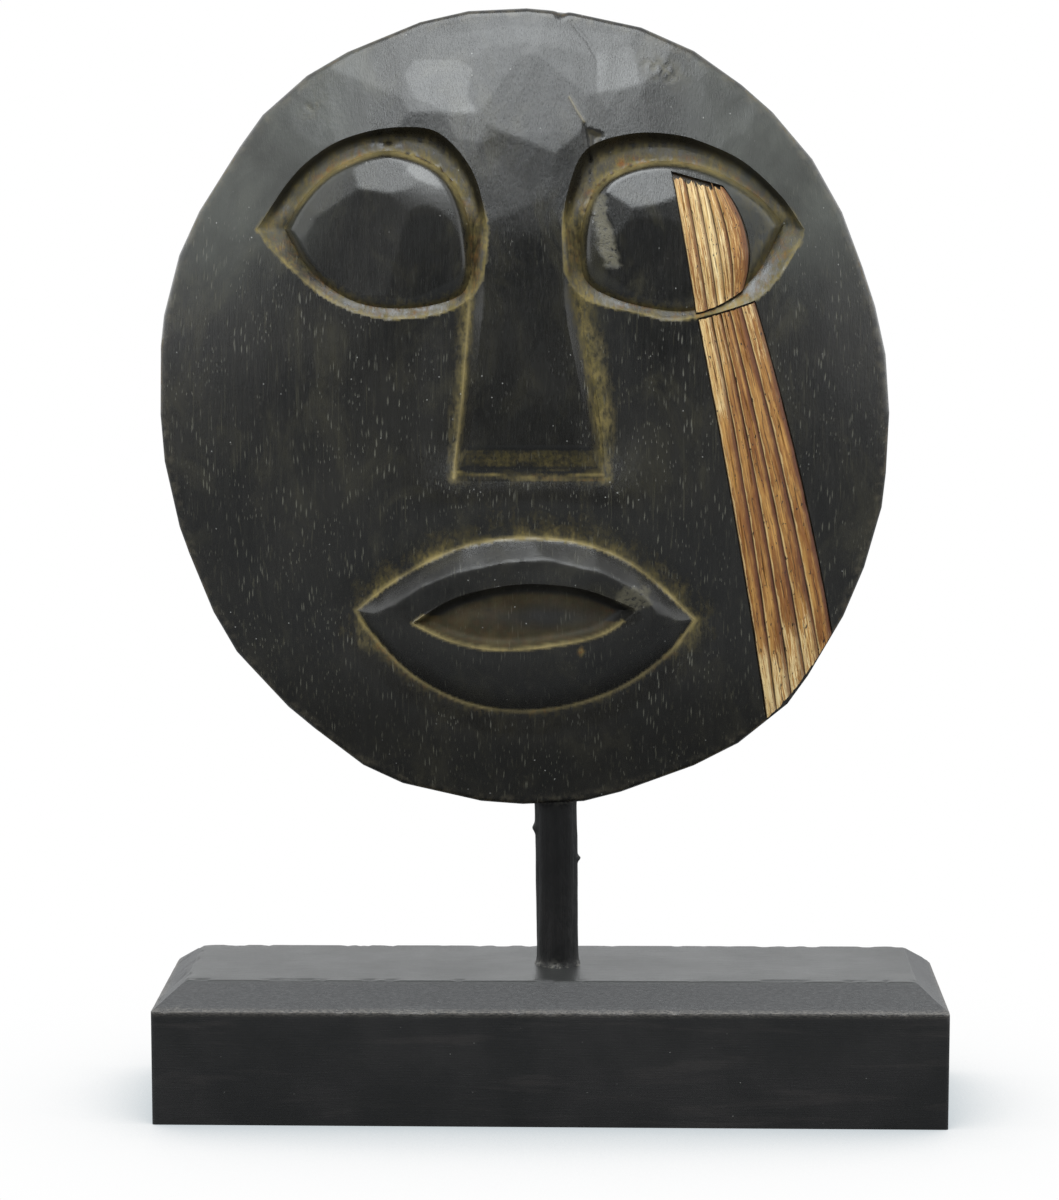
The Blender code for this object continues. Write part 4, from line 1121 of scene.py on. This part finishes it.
def paint_mask(obj):
    """Per-point amounts that drive the wood material: stain, ochre wash, pores and wear, with painted
    shade and painted highlights.
    """
    at = positions(obj.data) / MM
    u, v, h = at[:, 0] - MASK_X, at[:, 2] - MASK_Z, -at[:, 1]
    share = disc_share(u, v)
    on_face = (h > 5.0) & (share < 0.992)
    sunk = on_face & (h < relief(u, v) - 0.35)
    lids, balls, lip_in, slot_in = outlines(u, v)
    wander = uneven(u / 7.0, v / 7.0, 61)
    grains = (wander, layered(u / 4.0, v / 4.0, 67), uneven(u / 0.9, v / 9.0, 63))
    stains = ochre, pale, dark, orange = np.zeros((4, len(u)))
    paint_eyes(u, v, lids, balls, stains, grains)
    paint_nose(u, v, stains, grains)
    dull = paint_mouth(u, v, lip_in, slot_in, stains, grains)
    paint_marks(u, v, stains, wander)

    # Painted shade: the front of the nose, which faces slightly down, is darkened.
    nose_front = smooth((u + 15.0) / 3.0) * smooth((18.0 - u) / 3.0)
    nose_front = nose_front * smooth((v + 10.4) / 1.4) * smooth((56.0 - v) / 24.0)
    lay(dark, 0.55 * nose_front)
    # Painted shade: darker towards the chin.
    lay(dark, 0.5 * smooth((-68.0 - v) / 34.0) * (0.6 + wander))
    # A pale grey film on the upper outer face: partly dust, partly a painted reflection of the bright
    # side walls.
    dusty = smooth((v - 22.0) / 45.0) * smooth((share - 0.62) / 0.25)
    dusty = dusty * smooth((np.abs(u) - 36.0) / 30.0)
    dusty = dusty * (0.62 + 1.1 * (layered(u / 16.0, v / 16.0, 77) - 0.3))
    patch = patch_share(u, v)
    # Open pores lie densest on the cheeks, chin and nose, hardly at all on the polished
    # forehead and eyeballs.
    pores = lerp(1.0, 0.10, smooth((v - 18) / 60)) * (0.55 + 0.9 * layered(u / 26.0, v / 26.0, 66))
    pores = np.where(np.maximum(*balls) > 0, pores * 0.25, pores) * (1 - 0.6 * nose_front)
    pores = np.where(lip_in > 0, pores * 0.4, pores)
    shine = polish(u, v)
    for layer in (ochre, pale, orange, patch, shine, dusty):
        layer[~on_face] = 0
    # Walls of the cut recesses: glue colour, darkened as painted shade.
    ochre[sunk], pale[sunk], dark[sunk], orange[sunk] = 0.5, 0, 0.35, 0.7
    put_attributes(
        obj,
        ochre=np.clip(ochre, 0, 1.3),
        pale=np.clip(pale, 0, 1),
        dark=np.clip(dark, 0, 1),
        orange=np.clip(orange, 0, 1),
        patch=np.clip(patch, 0, 1),
        pores=np.clip(pores, 0, 1.2),
        rim=smooth((share - 0.965) / 0.02) * (h > 5),
        even=smooth((slot_in + 0.2) / 0.6),
        dull=dull,
        shine=shine,
        dusty=np.clip(dusty, 0, 1),
    )


# ---------------------------------------------------------------- post and base


def build_post():
    sides, steps = 72, 92
    z_low, z_high = post_low.z / MM, post_high.z / MM
    foot, head = BASE_TOP, MASK_BOTTOM
    levels = np.concatenate([
        [z_low, z_low + 1.2], np.linspace(foot - 1.0, head + 1.5, steps), [z_high - 1.2, z_high],
    ])
    angles = 2 * np.pi * np.arange(sides) / sides
    cos, sin = np.cos(angles), np.sin(angles)
    # Knots: z, height, half length, angle, half angle
    knots = ((87.0, 0.85, 1.3, math.pi * 1.02, 0.3), (77.2, 1.0, 0.9, 0.02, 0.22))
    beads = 0.35 + 0.9 * layered(cos * 2.2 + 4, sin * 2.2 + 4, 83, 2)
    verts, glue = [], []
    for z in levels:
        if z < foot - 0.5 or z > head + 1.0:
            # Plain ends inside the mask and the base, narrowed at the tips.
            x, y = POST_X, 0.0
            radius = np.full(sides, 5.9 if z in (z_low, z_high) else POST_SEAT_RADIUS)
            glued = np.zeros(sides)
        else:
            # Whittled flats, waviness along the length, two knots and beads of glue.
            x = POST_X + lerp(0.35, -0.35, np.clip((z - foot) / (head - foot), 0, 1))
            y = 0.25 * math.sin(0.12 * z)
            radius = 6.41 + 0.22 * np.abs(np.sin(4.5 * angles + 0.9 * math.sin(z / 17.0)))
            radius += 0.28 * uneven(cos * 2 + 9, sin * 2 + z / 9.0, 81)
            for knot_z, height, half_length, at_angle, half_angle in knots:
                away = (angles - at_angle + math.pi) % (2 * math.pi) - math.pi
                radius += height * bell(z - knot_z, half_length) * bell(away, half_angle)
            low, high = fade(z - foot, 0.9), fade(head - z, 0.6)
            radius += low * beads * 0.9 + 0.25 * high
            glued = low * smooth((beads - 0.7) / 0.25)
            glued += 0.35 * high * smooth((np.cos(angles + 1.4) - 0.3) / 0.5)
        verts.append(np.stack([x + radius * cos, y + radius * sin, np.full(sides, z)], -1))
        glue.append(glued)
    rings = [range(k * sides, (k + 1) * sides) for k in range(len(levels))]
    faces = [rings[0], rings[-1]] + ring_faces(rings)
    obj = mesh_object("whittled_post", np.concatenate(verts) * MM, faces, 60)
    put_attributes(obj, glue=np.clip(np.concatenate(glue), 0, 1))
    register(obj, "post")
    return obj


def soft_steps(count):
    """Shares from 0 to 1 that crowd towards both ends, where the edges are softened."""
    share = np.linspace(0, 1, count + 1)
    return share - 0.081 * np.sin(2 * np.pi * share)


def base_side(x):
    return lerp(*BASE_SIDE, (x + BASE_LENGTH / 2) / BASE_LENGTH)


SIDE, CHAMFER, TOP, BOTTOM = range(4)


def base_profile(x):
    """One closed section across the block at x: rows of (y, z, which face)."""
    from_end = BASE_LENGTH / 2 - abs(x)
    grown = min(1.0, from_end / CHAMFER_END_RUN)
    side, rise, inset = base_side(x), CHAMFER_RISE * grown, CHAMFER_SIDE_RUN * grown
    half = BASE_DEPTH / 2 - 0.55 * max(0.0, 1 - from_end / 0.7) ** 2  # softened upright corners
    up, slope, over = soft_steps(22), soft_steps(9), soft_steps(34)
    profile = [(-half, side * t, SIDE) for t in up]
    profile += [(-half + inset * t, side + rise * t, CHAMFER) for t in slope[1:]]
    profile += [(lerp(-half + inset, half - inset, t), side + rise, TOP) for t in over[1:]]
    profile += [(half - inset * (1 - t), side + rise * (1 - t), CHAMFER) for t in slope[1:]]
    profile += [(half, side * (1 - t), SIDE) for t in up[1:]]
    profile += [(lerp(half, -half, t), 0.0, BOTTOM) for t in over[1:-1]]
    return profile


def roughen_base(verts, tags):
    """Uneven hand work: wavy faces, nicked edges and small bites. The bottom stays flat."""
    x, y, z = verts.T  # views, so each step sees the ones before it
    x_end, y_side = BASE_LENGTH / 2, BASE_DEPTH / 2
    side = base_side(x)
    wave = uneven(x / 14.0 + 20, y / 14.0 + z / 9.0 + 20, 91)
    fine = uneven(x / 2.2 + 50, (y + z) / 1.6 + 50, 92)
    push = np.minimum(0.16 * wave + 0.05 * fine, 0.0) * smooth(z / 3.0) * 1.6
    y += np.sign(y) * (tags == SIDE) * push
    held = smooth((z - side) / 1.5) * smooth((side + CHAMFER_RISE - z) / 1.5)
    z += (tags == CHAMFER) * (0.36 * wave + 0.16 * fine) * held
    z += (tags == TOP) * np.minimum(0.14 * wave + 0.03 * fine, 0.02)
    # The sawn edge where the upright side meets the chamfer wanders a little.
    edge = bell(z - side, 1.4) * (np.abs(np.abs(y) - y_side) < 1.6)
    nick = layered(x / 3.2, y / 30.0 + 5, 93)
    z -= edge * 0.55 * smooth((nick - 0.55) / 0.2)
    y -= np.sign(y) * edge * 0.25 * smooth((nick - 0.5) / 0.2)
    crest = bell(z - side - CHAMFER_RISE, 1.0)
    crest *= np.abs(np.abs(y) - (y_side - CHAMFER_SIDE_RUN)) < 2.0
    crest *= np.minimum(x + x_end, x_end - x) > CHAMFER_END_RUN
    z -= crest * 0.30 * smooth(uneven(x / 4.0, y / 30.0 + 9, 94) / 0.2)
    # Rough bites out of the left end's chamfer.
    bites = smooth((layered(y / 5.0, x / 5.0 + 3, 95) - 0.56) / 0.1)
    bites *= smooth((-x_end + CHAMFER_END_RUN + 1 - x) / 2.0) * (z > side - 0.5)
    z -= 0.7 * bites * smooth((z - side + 0.5) / 2.0)


def build_base():
    x_end, run = BASE_LENGTH / 2, CHAMFER_END_RUN
    stations = np.concatenate([
        [-x_end, -x_end + 0.25, -x_end + 0.7],
        np.arange(-x_end + 1.4, -x_end + run, 1.2), [-x_end + run],
        np.linspace(-x_end + run + 1.0, x_end - run - 1.0, 168),
        [x_end - run], np.arange(x_end - run + 1.2, x_end - 1.2, 1.2),
        [x_end - 0.7, x_end - 0.25, x_end],
    ])
    rows = [[(x, *row) for row in base_profile(x)] for x in stations]
    size = len(rows[0])
    rings = [range(k * size, (k + 1) * size) for k in range(len(rows))]
    table = np.array(rows).reshape(-1, 4)
    verts = table[:, :3].copy()
    roughen_base(verts, table[:, 3])
    faces = ring_faces(rings) + [rings[0], rings[-1]]
    obj = mesh_object("sawn_base_block", verts * MM, faces, None)
    socket = cylinder("socket", POST_X, post_low.z / MM - GAP, BASE_TOP + 5, BORE_RADIUS)
    subtract(obj, [socket], angle=28)

    x, y, z = (positions(obj.data) / MM).T
    side = base_side(x)
    near_side = np.abs(np.abs(y) - BASE_DEPTH / 2) < 1.5
    near_end = np.minimum(x + x_end, x_end - x) < 1.5
    put_attributes(
        obj,
        chamfer=(z > side - 0.4) & (z < side + CHAMFER_RISE - 0.15),
        topface=z >= side + CHAMFER_RISE - 0.6,
        worn=bell(z - side, 0.8) * (near_side | near_end),
    )
    register(obj, "base_block")
    return obj


# ---------------------------------------------------------------- node tools


def feed(socket, value):
    """Links a signal to the socket, or sets its value; None leaves it alone."""
    if isinstance(value, Signal):
        socket.id_data.links.new(value.socket, socket)
    elif value is not None:
        if isinstance(value, tuple) and len(value) == 3 and socket.type == "RGBA":
            value = (*value, 1.0)
        socket.default_value = value


def add_node(tree, kind, inputs, output=0, **settings):
    node = tree.nodes.new(kind)
    for name, value in settings.items():
        setattr(node, name, value)
    for key, value in inputs.items():
        feed(node.inputs[key], value)
    return Signal(node.outputs[output])


def tree_of(*values):
    return next(value.socket.id_data for value in values if isinstance(value, Signal))


def combine(operation, first, second=None):
    tree = tree_of(first, second)
    return add_node(tree, "ShaderNodeMath", {0: first, 1: second}, operation=operation)


def mix(share, first, second):
    inputs = {"Factor": share, 6: first, 7: second}
    return add_node(tree_of(share), "ShaderNodeMix", inputs, 2, data_type="RGBA")


def join(x, y, z):
    return add_node(tree_of(x, y, z), "ShaderNodeCombineXYZ", {0: x, 1: y, 2: z})


class Signal:
    """A node output; arithmetic and the methods below add nodes after it."""

    def __init__(self, socket):
        self.socket = socket

    def __add__(self, other):
        return combine("ADD", self, other)

    def __radd__(self, other):
        return combine("ADD", other, self)

    def __sub__(self, other):
        return combine("SUBTRACT", self, other)

    def __rsub__(self, other):
        return combine("SUBTRACT", other, self)

    def __mul__(self, other):
        return combine("MULTIPLY", self, other)

    def __abs__(self):
        return combine("ABSOLUTE", self)

    def clamped(self):
        self.socket.node.use_clamp = True
        return self

    def ramp(self, low, high, to_low=0.0, to_high=1.0, soft=True):
        """Maps low..high to to_low..to_high, eased unless not soft."""
        inputs = {"Value": self, "From Min": low, "From Max": high, "To Min": to_low,
                  "To Max": to_high}
        kind = "SMOOTHSTEP" if soft else "LINEAR"
        return add_node(tree_of(self), "ShaderNodeMapRange", inputs, interpolation_type=kind)

    def tinted(self, share, rgb):
        return mix(share, self, srgb(*rgb))

    def stretched(self, x, y, z):
        inputs = {0: self, 1: (x, y, z)}
        return add_node(tree_of(self), "ShaderNodeVectorMath", inputs, operation="MULTIPLY")

    def apart(self):
        x = add_node(tree_of(self), "ShaderNodeSeparateXYZ", {0: self})
        return [Signal(socket) for socket in x.socket.node.outputs]

    def noise(self, scale=1.0, detail=2.0, roughness=0.5, distortion=0.0):
        inputs = {"Vector": self, "Scale": scale, "Detail": detail, "Roughness": roughness,
                  "Distortion": distortion}
        return add_node(tree_of(self), "ShaderNodeTexNoise", inputs, "Fac")

    def cells(self):
        """Distance to the nearest of scattered points in a plane."""
        inputs = {"Vector": self, "Scale": 1.0, "Randomness": 1.0}
        kind = "ShaderNodeTexVoronoi"
        return add_node(tree_of(self), kind, inputs, "Distance", voronoi_dimensions="2D")


def srgb(*rgb):
    """Linear colour from 0-255 values."""
    shares = (value / 255.0 for value in rgb)
    return tuple(c / 12.92 if c <= 0.04045 else ((c + 0.055) / 1.055) ** 2.4 for c in shares)


def empty_tree(owner):
    owner.use_nodes = True
    owner.node_tree.nodes.clear()
    return owner.node_tree


def set_surface(tree, output_kind, shader):
    feed(tree.nodes.new(output_kind).inputs["Surface"], shader)


def millimetres(tree):
    """Object coordinates in millimetres."""
    return add_node(tree, "ShaderNodeTexCoord", {}, "Object").stretched(1000, 1000, 1000)


def attributes(tree, *names):
    return [add_node(tree, "ShaderNodeAttribute", {}, "Fac", attribute_name=n) for n in names]


def finish(tree, colour, roughness, specular, height, bump_mm):
    bump = {"Strength": 0.9, "Distance": bump_mm * MM, "Height": height}
    shader = add_node(tree, "ShaderNodeBsdfPrincipled", {
        "Base Color": colour,
        "Roughness": roughness,
        "Specular IOR Level": specular,
        "Normal": add_node(tree, "ShaderNodeBump", bump),
    })
    set_surface(tree, "ShaderNodeOutputMaterial", shader)


# ---------------------------------------------------------------- materials


def mask_material():
    material = bpy.data.materials.new("stained_carved_wood")
    tree = empty_tree(material)
    mm = millimetres(tree)
    x, _, z = mm.apart()
    ochre, pale, dark, orange, patch, pores, rim, even, dull, shine, dusty = attributes(
        tree, "ochre", "pale", "dark", "orange", "patch", "pores", "rim", "even", "dull",
        "shine", "dusty",
    )
    # Stain: cloudy, with a faint vertical figure.
    cloud = mm.noise(scale=0.028, detail=4, roughness=0.55)
    figure = mm.stretched(0.55, 0.55, 0.045).noise(detail=4, roughness=0.6, distortion=0.4)
    fibre = mm.stretched(3.2, 3.2, 0.16).noise(detail=3, roughness=0.65)
    worn = mm.stretched(0.05, 0.05, 0.03).noise(detail=6, roughness=0.68, distortion=0.8)
    colour = mix(cloud.ramp(0.35, 0.7), srgb(9, 9, 8), srgb(21, 20, 17))
    colour = colour.tinted(worn.ramp(0.48, 0.66) * 0.65, (43, 41, 31))
    colour = colour.tinted(figure.ramp(0.42, 0.72) * 0.55, (27, 26, 23))
    colour = colour.tinted(fibre.ramp(0.5, 0.8) * 0.35, (7, 7, 7))
    # Browner in the lower half, bluish black above.
    colour = colour.tinted((1.0 - z.ramp(120.0, 260.0)) * 0.35, (20, 18, 14))
    # Dust and painted sheen on the upper outer face.
    dusty = dusty * (0.7 + worn.ramp(0.35, 0.65) * 0.3)
    colour = colour.tinted(dusty * 0.85, (64, 66, 61))
    # Open pores: short pale vertical streaks in two sizes.
    bend = (mm.stretched(0.05, 0.05, 0.02).noise() - 0.5) * 5.0
    bent_x = x + bend
    long_cell = join(bent_x * (1 / 1.25), z * (1 / 9.0), 0.0).cells()
    short_cell = join((bent_x + 31.0) * (1 / 1.1), (z + 17.0) * (1 / 5.0), 0.0).cells()
    present = join(x * 0.11, z * 0.05, 3.0).noise(detail=3, roughness=0.6)
    long_pore = long_cell.ramp(0.20, 0.06) * present.ramp(0.48, 0.64)
    short_pore = short_cell.ramp(0.14, 0.05) * present.ramp(0.50, 0.38)
    pore = (combine("MAXIMUM", long_pore, short_pore * 1.0) * pores).clamped()
    colour = colour.tinted(pore * 0.55, (92, 91, 80))
    threads = mm.stretched(1.5, 1.5, 0.05).noise(detail=3, roughness=0.6)
    colour = colour.tinted(threads.ramp(0.58, 0.72) * pores * 0.42, (60, 58, 46))
    # Ochre rubbed into the carving.
    rubbed = mm.stretched(0.8, 0.8, 0.35).noise(detail=5, roughness=0.7)
    blotch = mm.noise(scale=0.22, detail=3, roughness=0.55)
    speckled = 0.30 + rubbed.ramp(0.30, 0.68) * 1.05
    speckled = speckled + even * (0.75 - speckled)
    ochre = (ochre * speckled).ramp(0.12, 1.10, soft=False)
    tone = mix(blotch.ramp(0.38, 0.62), srgb(84, 76, 46), srgb(104, 93, 58))
    orange = orange * mm.noise(scale=0.55, detail=3, roughness=0.6).ramp(0.40, 0.60)
    tone = tone.tinted(orange * 0.8, (116, 70, 32))
    colour = mix(ochre * 0.92, colour, tone)
    # Dirt specks left in the ochre.
    dirt = mm.stretched(1.6, 1.6, 0.9).noise(roughness=0.6).ramp(0.60, 0.70)
    colour = colour.tinted(dirt * (ochre - even).clamped() * 0.6, (30, 27, 20))
    # Pale ochre lines, partly a painted highlight along crisp edges.
    colour = colour.tinted(pale * 0.75, (142, 128, 86))
    # The dark layer: painted shade under the upper lids, on the nose front, on the chin and in the
    # cuts, and the dark pupils.
    colour = colour.tinted(dark * 0.85, (13, 13, 12))
    patch = patch * mm.noise(scale=0.9, detail=4, roughness=0.7).ramp(0.32, 0.52)
    colour = colour.tinted(patch * 0.8, (78, 74, 58))
    # Fine white dust.
    dust = join(x * (1 / 8.5), z * (1 / 8.5), 0.0).cells().ramp(0.030, 0.018)
    dust = dust * mm.noise(scale=0.06).ramp(0.54, 0.66)
    colour = colour.tinted(dust * 0.4, (170, 170, 166))
    # Worn rim.
    rim = rim * mm.noise(scale=0.35, detail=3, roughness=0.6).ramp(0.4, 0.7)
    colour = colour.tinted(rim * 0.30, (86, 80, 66))

    roughness = 0.25 + (cloud - 0.5) * 0.16
    for rougher in (ochre * 0.34, patch * 0.25, dusty * 0.12, even * 0.35, dull * 0.16,
                    fibre.ramp(0.4, 0.8) * 0.08):
        roughness = roughness + rougher
    height = mm.noise(scale=0.9, detail=4, roughness=0.6) * 0.35 + fibre * 0.5
    height = height + pore * -0.9
    height = height + patch * mm.noise(scale=2.0, detail=3, roughness=0.7)
    mottle = (mm.stretched(0.22, 0.22, 0.16).noise(detail=4, roughness=0.65) - 0.5) * 0.30
    specular = (0.47 - ochre * 0.38 - even * 0.2).clamped()
    specular = (specular * (1.0 + mottle + shine * 0.55)).clamped()
    finish(tree, colour, roughness, specular, height, bump_mm=0.10)
    return material


def rod_material():
    material = bpy.data.materials.new("split_cane")
    tree = empty_tree(material)
    across, length, number, bare, top = attributes(
        tree, "across", "along", "number", "bare", "top"
    )
    # Streaks along the rod: middling, broad and thin.
    streak = join(across * 4.2 + number, length * 0.045, number)
    streak = streak.noise(scale=2.2, detail=4, roughness=0.62)
    broad = join(across * 1.6 + number, length * 0.022, number * 0.37)
    broad = broad.noise(scale=1.6, detail=3, roughness=0.55)
    thin = join(across * 16.0 + number, length * 0.10, number).noise(detail=3, roughness=0.6)
    rind = mix(broad.ramp(0.38, 0.60), srgb(152, 112, 56), srgb(112, 70, 27))
    rind = rind.tinted(streak.ramp(0.50, 0.62) * 0.75, (98, 56, 17))
    rind = rind.tinted(thin.ramp(0.54, 0.66) * 0.6, (62, 34, 12))
    rind = rind.tinted(thin.ramp(0.44, 0.34) * 0.45, (178, 140, 80))
    pith = mix(broad.ramp(0.42, 0.64), srgb(204, 184, 138), srgb(176, 146, 92))
    pith = pith.tinted(streak.ramp(0.52, 0.64) * 0.75, (146, 98, 42))
    pith = pith.tinted(thin.ramp(0.56, 0.68) * 0.6, (100, 66, 32))
    # Pale pith shows through the tan rind with a torn boundary.
    torn = bare + (streak * 0.5 + thin * 0.5 - 0.5) * 4.6
    colour = mix(torn.ramp(0.40, 0.62), rind, pith)
    # Pale left edge, red-brown right edge, and both darker in the joint.
    wander = join(number, length * 0.16, 0.0).noise(detail=3, roughness=0.6)
    wander = (wander - 0.5) * 0.30
    edge = across + wander
    colour = colour.tinted(edge.ramp(0.15, 0.08) * 0.6, (198, 174, 122))
    colour = colour.tinted(edge.ramp(0.60, 0.88) * (0.95 - bare * 0.40), (74, 36, 14))
    for start, end, strength, rgb in (
        (0.075, 0.02, 0.85, (58, 30, 12)), (0.93, 0.985, 0.8, (40, 20, 9)),
    ):
        colour = colour.tinted((across + wander * 0.2).ramp(start, end) * strength, rgb)
    # Long hairline cracks, and dark specks of glue and dirt.
    crack_at = 0.46 + (join(number, length * 0.05, 5.0).noise() - 0.5) * 0.5
    crack = abs(across - crack_at).ramp(0.030, 0.012)
    crack = crack * join(number, length * 0.09, 9.0).noise().ramp(0.50, 0.56)
    colour = colour.tinted(crack * 0.8, (54, 28, 12))
    specks = join(across * 5.0 + number, length * 0.55, number).noise().ramp(0.655, 0.70)
    colour = colour.tinted(specks * 0.9, (30, 16, 8))
    # Painted shade: the sides darken towards the bottom, in the gaps between the rods and in the
    # seat.
    colour = colour.tinted((1.0 - top) * 0.9, (50, 25, 12))
    height = streak * 0.6 + thin * 0.7 + crack * -0.8
    finish(tree, colour, 0.46 + streak * 0.16, 0.4, height, bump_mm=0.22)
    return material


def post_material():
    material = bpy.data.materials.new("stained_whittled_wood")
    tree = empty_tree(material)
    mm = millimetres(tree)
    cloud = mm.noise(scale=0.09, detail=3, roughness=0.6)
    fibre = mm.stretched(1.9, 1.9, 0.09).noise(detail=4, roughness=0.65)
    bark = mm.stretched(0.7, 0.7, 0.35).noise(detail=4, roughness=0.7)
    colour = mix(cloud.ramp(0.35, 0.7), srgb(4, 4, 4), srgb(9, 8, 8))
    colour = colour.tinted(fibre.ramp(0.5, 0.78) * 0.6, (22, 20, 18))
    colour = colour.tinted(bark.ramp(0.62, 0.75) * 0.5, (5, 5, 5))
    (glue,) = attributes(tree, "glue")
    glue = glue * mm.noise(scale=1.1, detail=3, roughness=0.6).ramp(0.42, 0.58)
    colour = colour.tinted(glue * 0.40, (140, 137, 126))
    roughness = 0.36 + bark * 0.2 - glue * 0.3
    finish(tree, colour, roughness, 0.22, fibre * 0.7 + bark * 0.8, bump_mm=0.30)
    return material


def base_material():
    material = bpy.data.materials.new("stained_sawn_wood")
    tree = empty_tree(material)
    mm = millimetres(tree)
    x, y, z = mm.apart()
    chamfer, top, worn = attributes(tree, "chamfer", "topface", "worn")
    cloud = mm.noise(scale=0.03, detail=4, roughness=0.6)
    fibre = mm.stretched(0.11, 2.2, 2.2).noise(detail=4, roughness=0.65)
    figure = mm.stretched(0.02, 0.22, 0.22).noise(detail=4, roughness=0.6, distortion=0.6)
    colour = mix(cloud.ramp(0.35, 0.68), srgb(12, 12, 12), srgb(20, 19, 19))
    colour = colour.tinted(figure.ramp(0.5, 0.7) * 0.5, (36, 33, 32))
    colour = colour.tinted(fibre.ramp(0.52, 0.76) * 0.45, (13, 13, 13))
    # Paler, speckled saw cuts and worn edges; the chamfers are also lightened as painted reflection.
    speckle = mm.stretched(0.7, 3.4, 3.4).noise(detail=5, roughness=0.75)
    colour = colour.tinted(chamfer * 0.6, (60, 60, 61))
    colour = colour.tinted(chamfer * speckle.ramp(0.42, 0.70) * 0.32, (96, 96, 96))
    # Painted reflection: the top face is lightened as if it caught the bright room.
    colour = colour.tinted(top * 0.35, (60, 61, 60))
    colour = colour.tinted(worn * speckle.ramp(0.40, 0.62) * 0.5, (118, 112, 104))
    colour = colour.tinted(mm.noise(scale=0.16).ramp(0.72, 0.78) * 0.35, (14, 14, 14))
    dust = join(x * (1 / 17.0), (y + z) * (1 / 11.0), 0.0).cells().ramp(0.014, 0.008)
    dust = dust * mm.noise(scale=0.05).ramp(0.50, 0.62)
    colour = colour.tinted(dust * 0.3, (150, 150, 146))
    # Saw marks: fine rows across the grain.
    saw = mm.stretched(0.9, 0.05, 0.05).noise()
    height = fibre * 0.7 + saw * 0.25 + chamfer * speckle * 1.0
    roughness = 0.36 + (cloud - 0.5) * 0.25 + chamfer * 0.12
    finish(tree, colour, roughness, 0.42, height, bump_mm=0.16)
    return material


# ---------------------------------------------------------------- assemble


def dress_carved(obj, material):
    """The material on a cut mesh, whose cutters may have left empty slots."""
    obj.data.materials.clear()
    obj.data.materials.append(material)


mask = build_mask()
dress_carved(mask, mask_material())
register(mask, "mask_body")
cane = rod_material()
for i in range(RODS):
    for kind in BANDS:
        fine_rod(kind, i).data.materials.append(cane)
post = build_post()
post.data.materials.append(post_material())
base = build_base()
dress_carved(base, base_material())

# ---------------------------------------------------------------- studio, in metres

scene = bpy.context.scene


def camera_switch(tree, output_kind, lit, seen):
    """Shows `seen` to the camera, and lights the scene with `lit`."""
    looking = add_node(tree, "ShaderNodeLightPath", {}, "Is Camera Ray")
    shader = add_node(tree, "ShaderNodeMixShader", {0: looking, 1: lit, 2: seen})
    set_surface(tree, output_kind, shader)


def add_softbox():
    """A large area light in front of and above the mask."""
    target = Vector((0.0, 0.0, 0.26))
    elevation, distance = math.radians(45.0), 1.2
    data = bpy.data.lights.new("softbox_over", "AREA")
    data.shape = "RECTANGLE"
    data.size, data.size_y = 0.76, 1.04
    data.energy = 22.0
    data.color = (0.945, 0.985, 1.0)
    data.spread = math.radians(180.0)
    obj = bpy.data.objects.new("softbox_over", data)
    away = distance * Vector((-0.05, -math.cos(elevation), math.sin(elevation)))
    obj.location = target + away
    obj.rotation_euler = (-away).to_track_quat("-Z", "Y").to_euler()
    scene.collection.objects.link(obj)


def add_floor():
    """A bright sweep with a soft contact shadow to the eye; a dim table to the object."""
    mesh = bpy.data.meshes.new("floor")
    half = 6
    outline = [(-half, -half, 0), (half, -half, 0), (half, half, 0), (-half, half, 0)]
    mesh.from_pydata(outline, [], [(0, 1, 2, 3)])
    obj = bpy.data.objects.new("floor", mesh)
    scene.collection.objects.link(obj)
    material = bpy.data.materials.new("pale_floor")
    tree = empty_tree(material)
    occlusion = add_node(
        tree, "ShaderNodeAmbientOcclusion", {"Distance": 0.12}, "AO", samples=8
    )
    open_sky = occlusion.ramp(0.15, 0.92, soft=False)
    glow = mix(open_sky, (0.24, 0.33, 0.38), (1.0, 1.0, 1.0))
    seen = add_node(tree, "ShaderNodeEmission", {"Color": glow})
    table = {"Base Color": (0.16, 0.165, 0.17), "Roughness": 0.9}
    lit = add_node(tree, "ShaderNodeBsdfPrincipled", table)
    camera_switch(tree, "ShaderNodeOutputMaterial", lit, seen)
    mesh.materials.append(material)


def add_world():
    """White sweep behind, bright walls to both sides, dark round the camera."""
    world = bpy.data.worlds.new("studio")
    scene.world = world
    tree = empty_tree(world)
    x, y, z = add_node(tree, "ShaderNodeTexCoord", {}, "Generated").apart()
    behind = y.ramp(-0.15, 0.25, to_high=1.15)
    aside = combine("ABSOLUTE", x, 0.0).ramp(0.24, 0.75, to_high=2.2)
    above = z.ramp(0.30, 0.9, to_high=1.1)
    strength = 0.05 + combine("MAXIMUM", behind, combine("MAXIMUM", aside, above))
    kind = "ShaderNodeBackground"
    lit = add_node(tree, kind, {"Color": (0.97, 0.99, 1.0), "Strength": strength})
    seen = add_node(tree, kind, {"Color": (1.0, 1.0, 1.0), "Strength": 1.0})
    camera_switch(tree, "ShaderNodeOutputWorld", lit, seen)


def add_camera():
    data = bpy.data.cameras.new("camera")
    data.sensor_fit = "HORIZONTAL"
    data.sensor_width = 36.0
    data.lens = 115.42
    data.clip_end = 20.0
    obj = bpy.data.objects.new("camera", data)
    obj.location = (0.01786, -1.04987, 0.2957)
    obj.rotation_euler = (math.radians(90 - 7.414), 0.0, math.radians(1.35))
    scene.collection.objects.link(obj)
    scene.camera = obj


add_softbox()
add_floor()
add_world()
add_camera()
scene.view_settings.view_transform = "Standard"
scene.view_settings.look = "None"
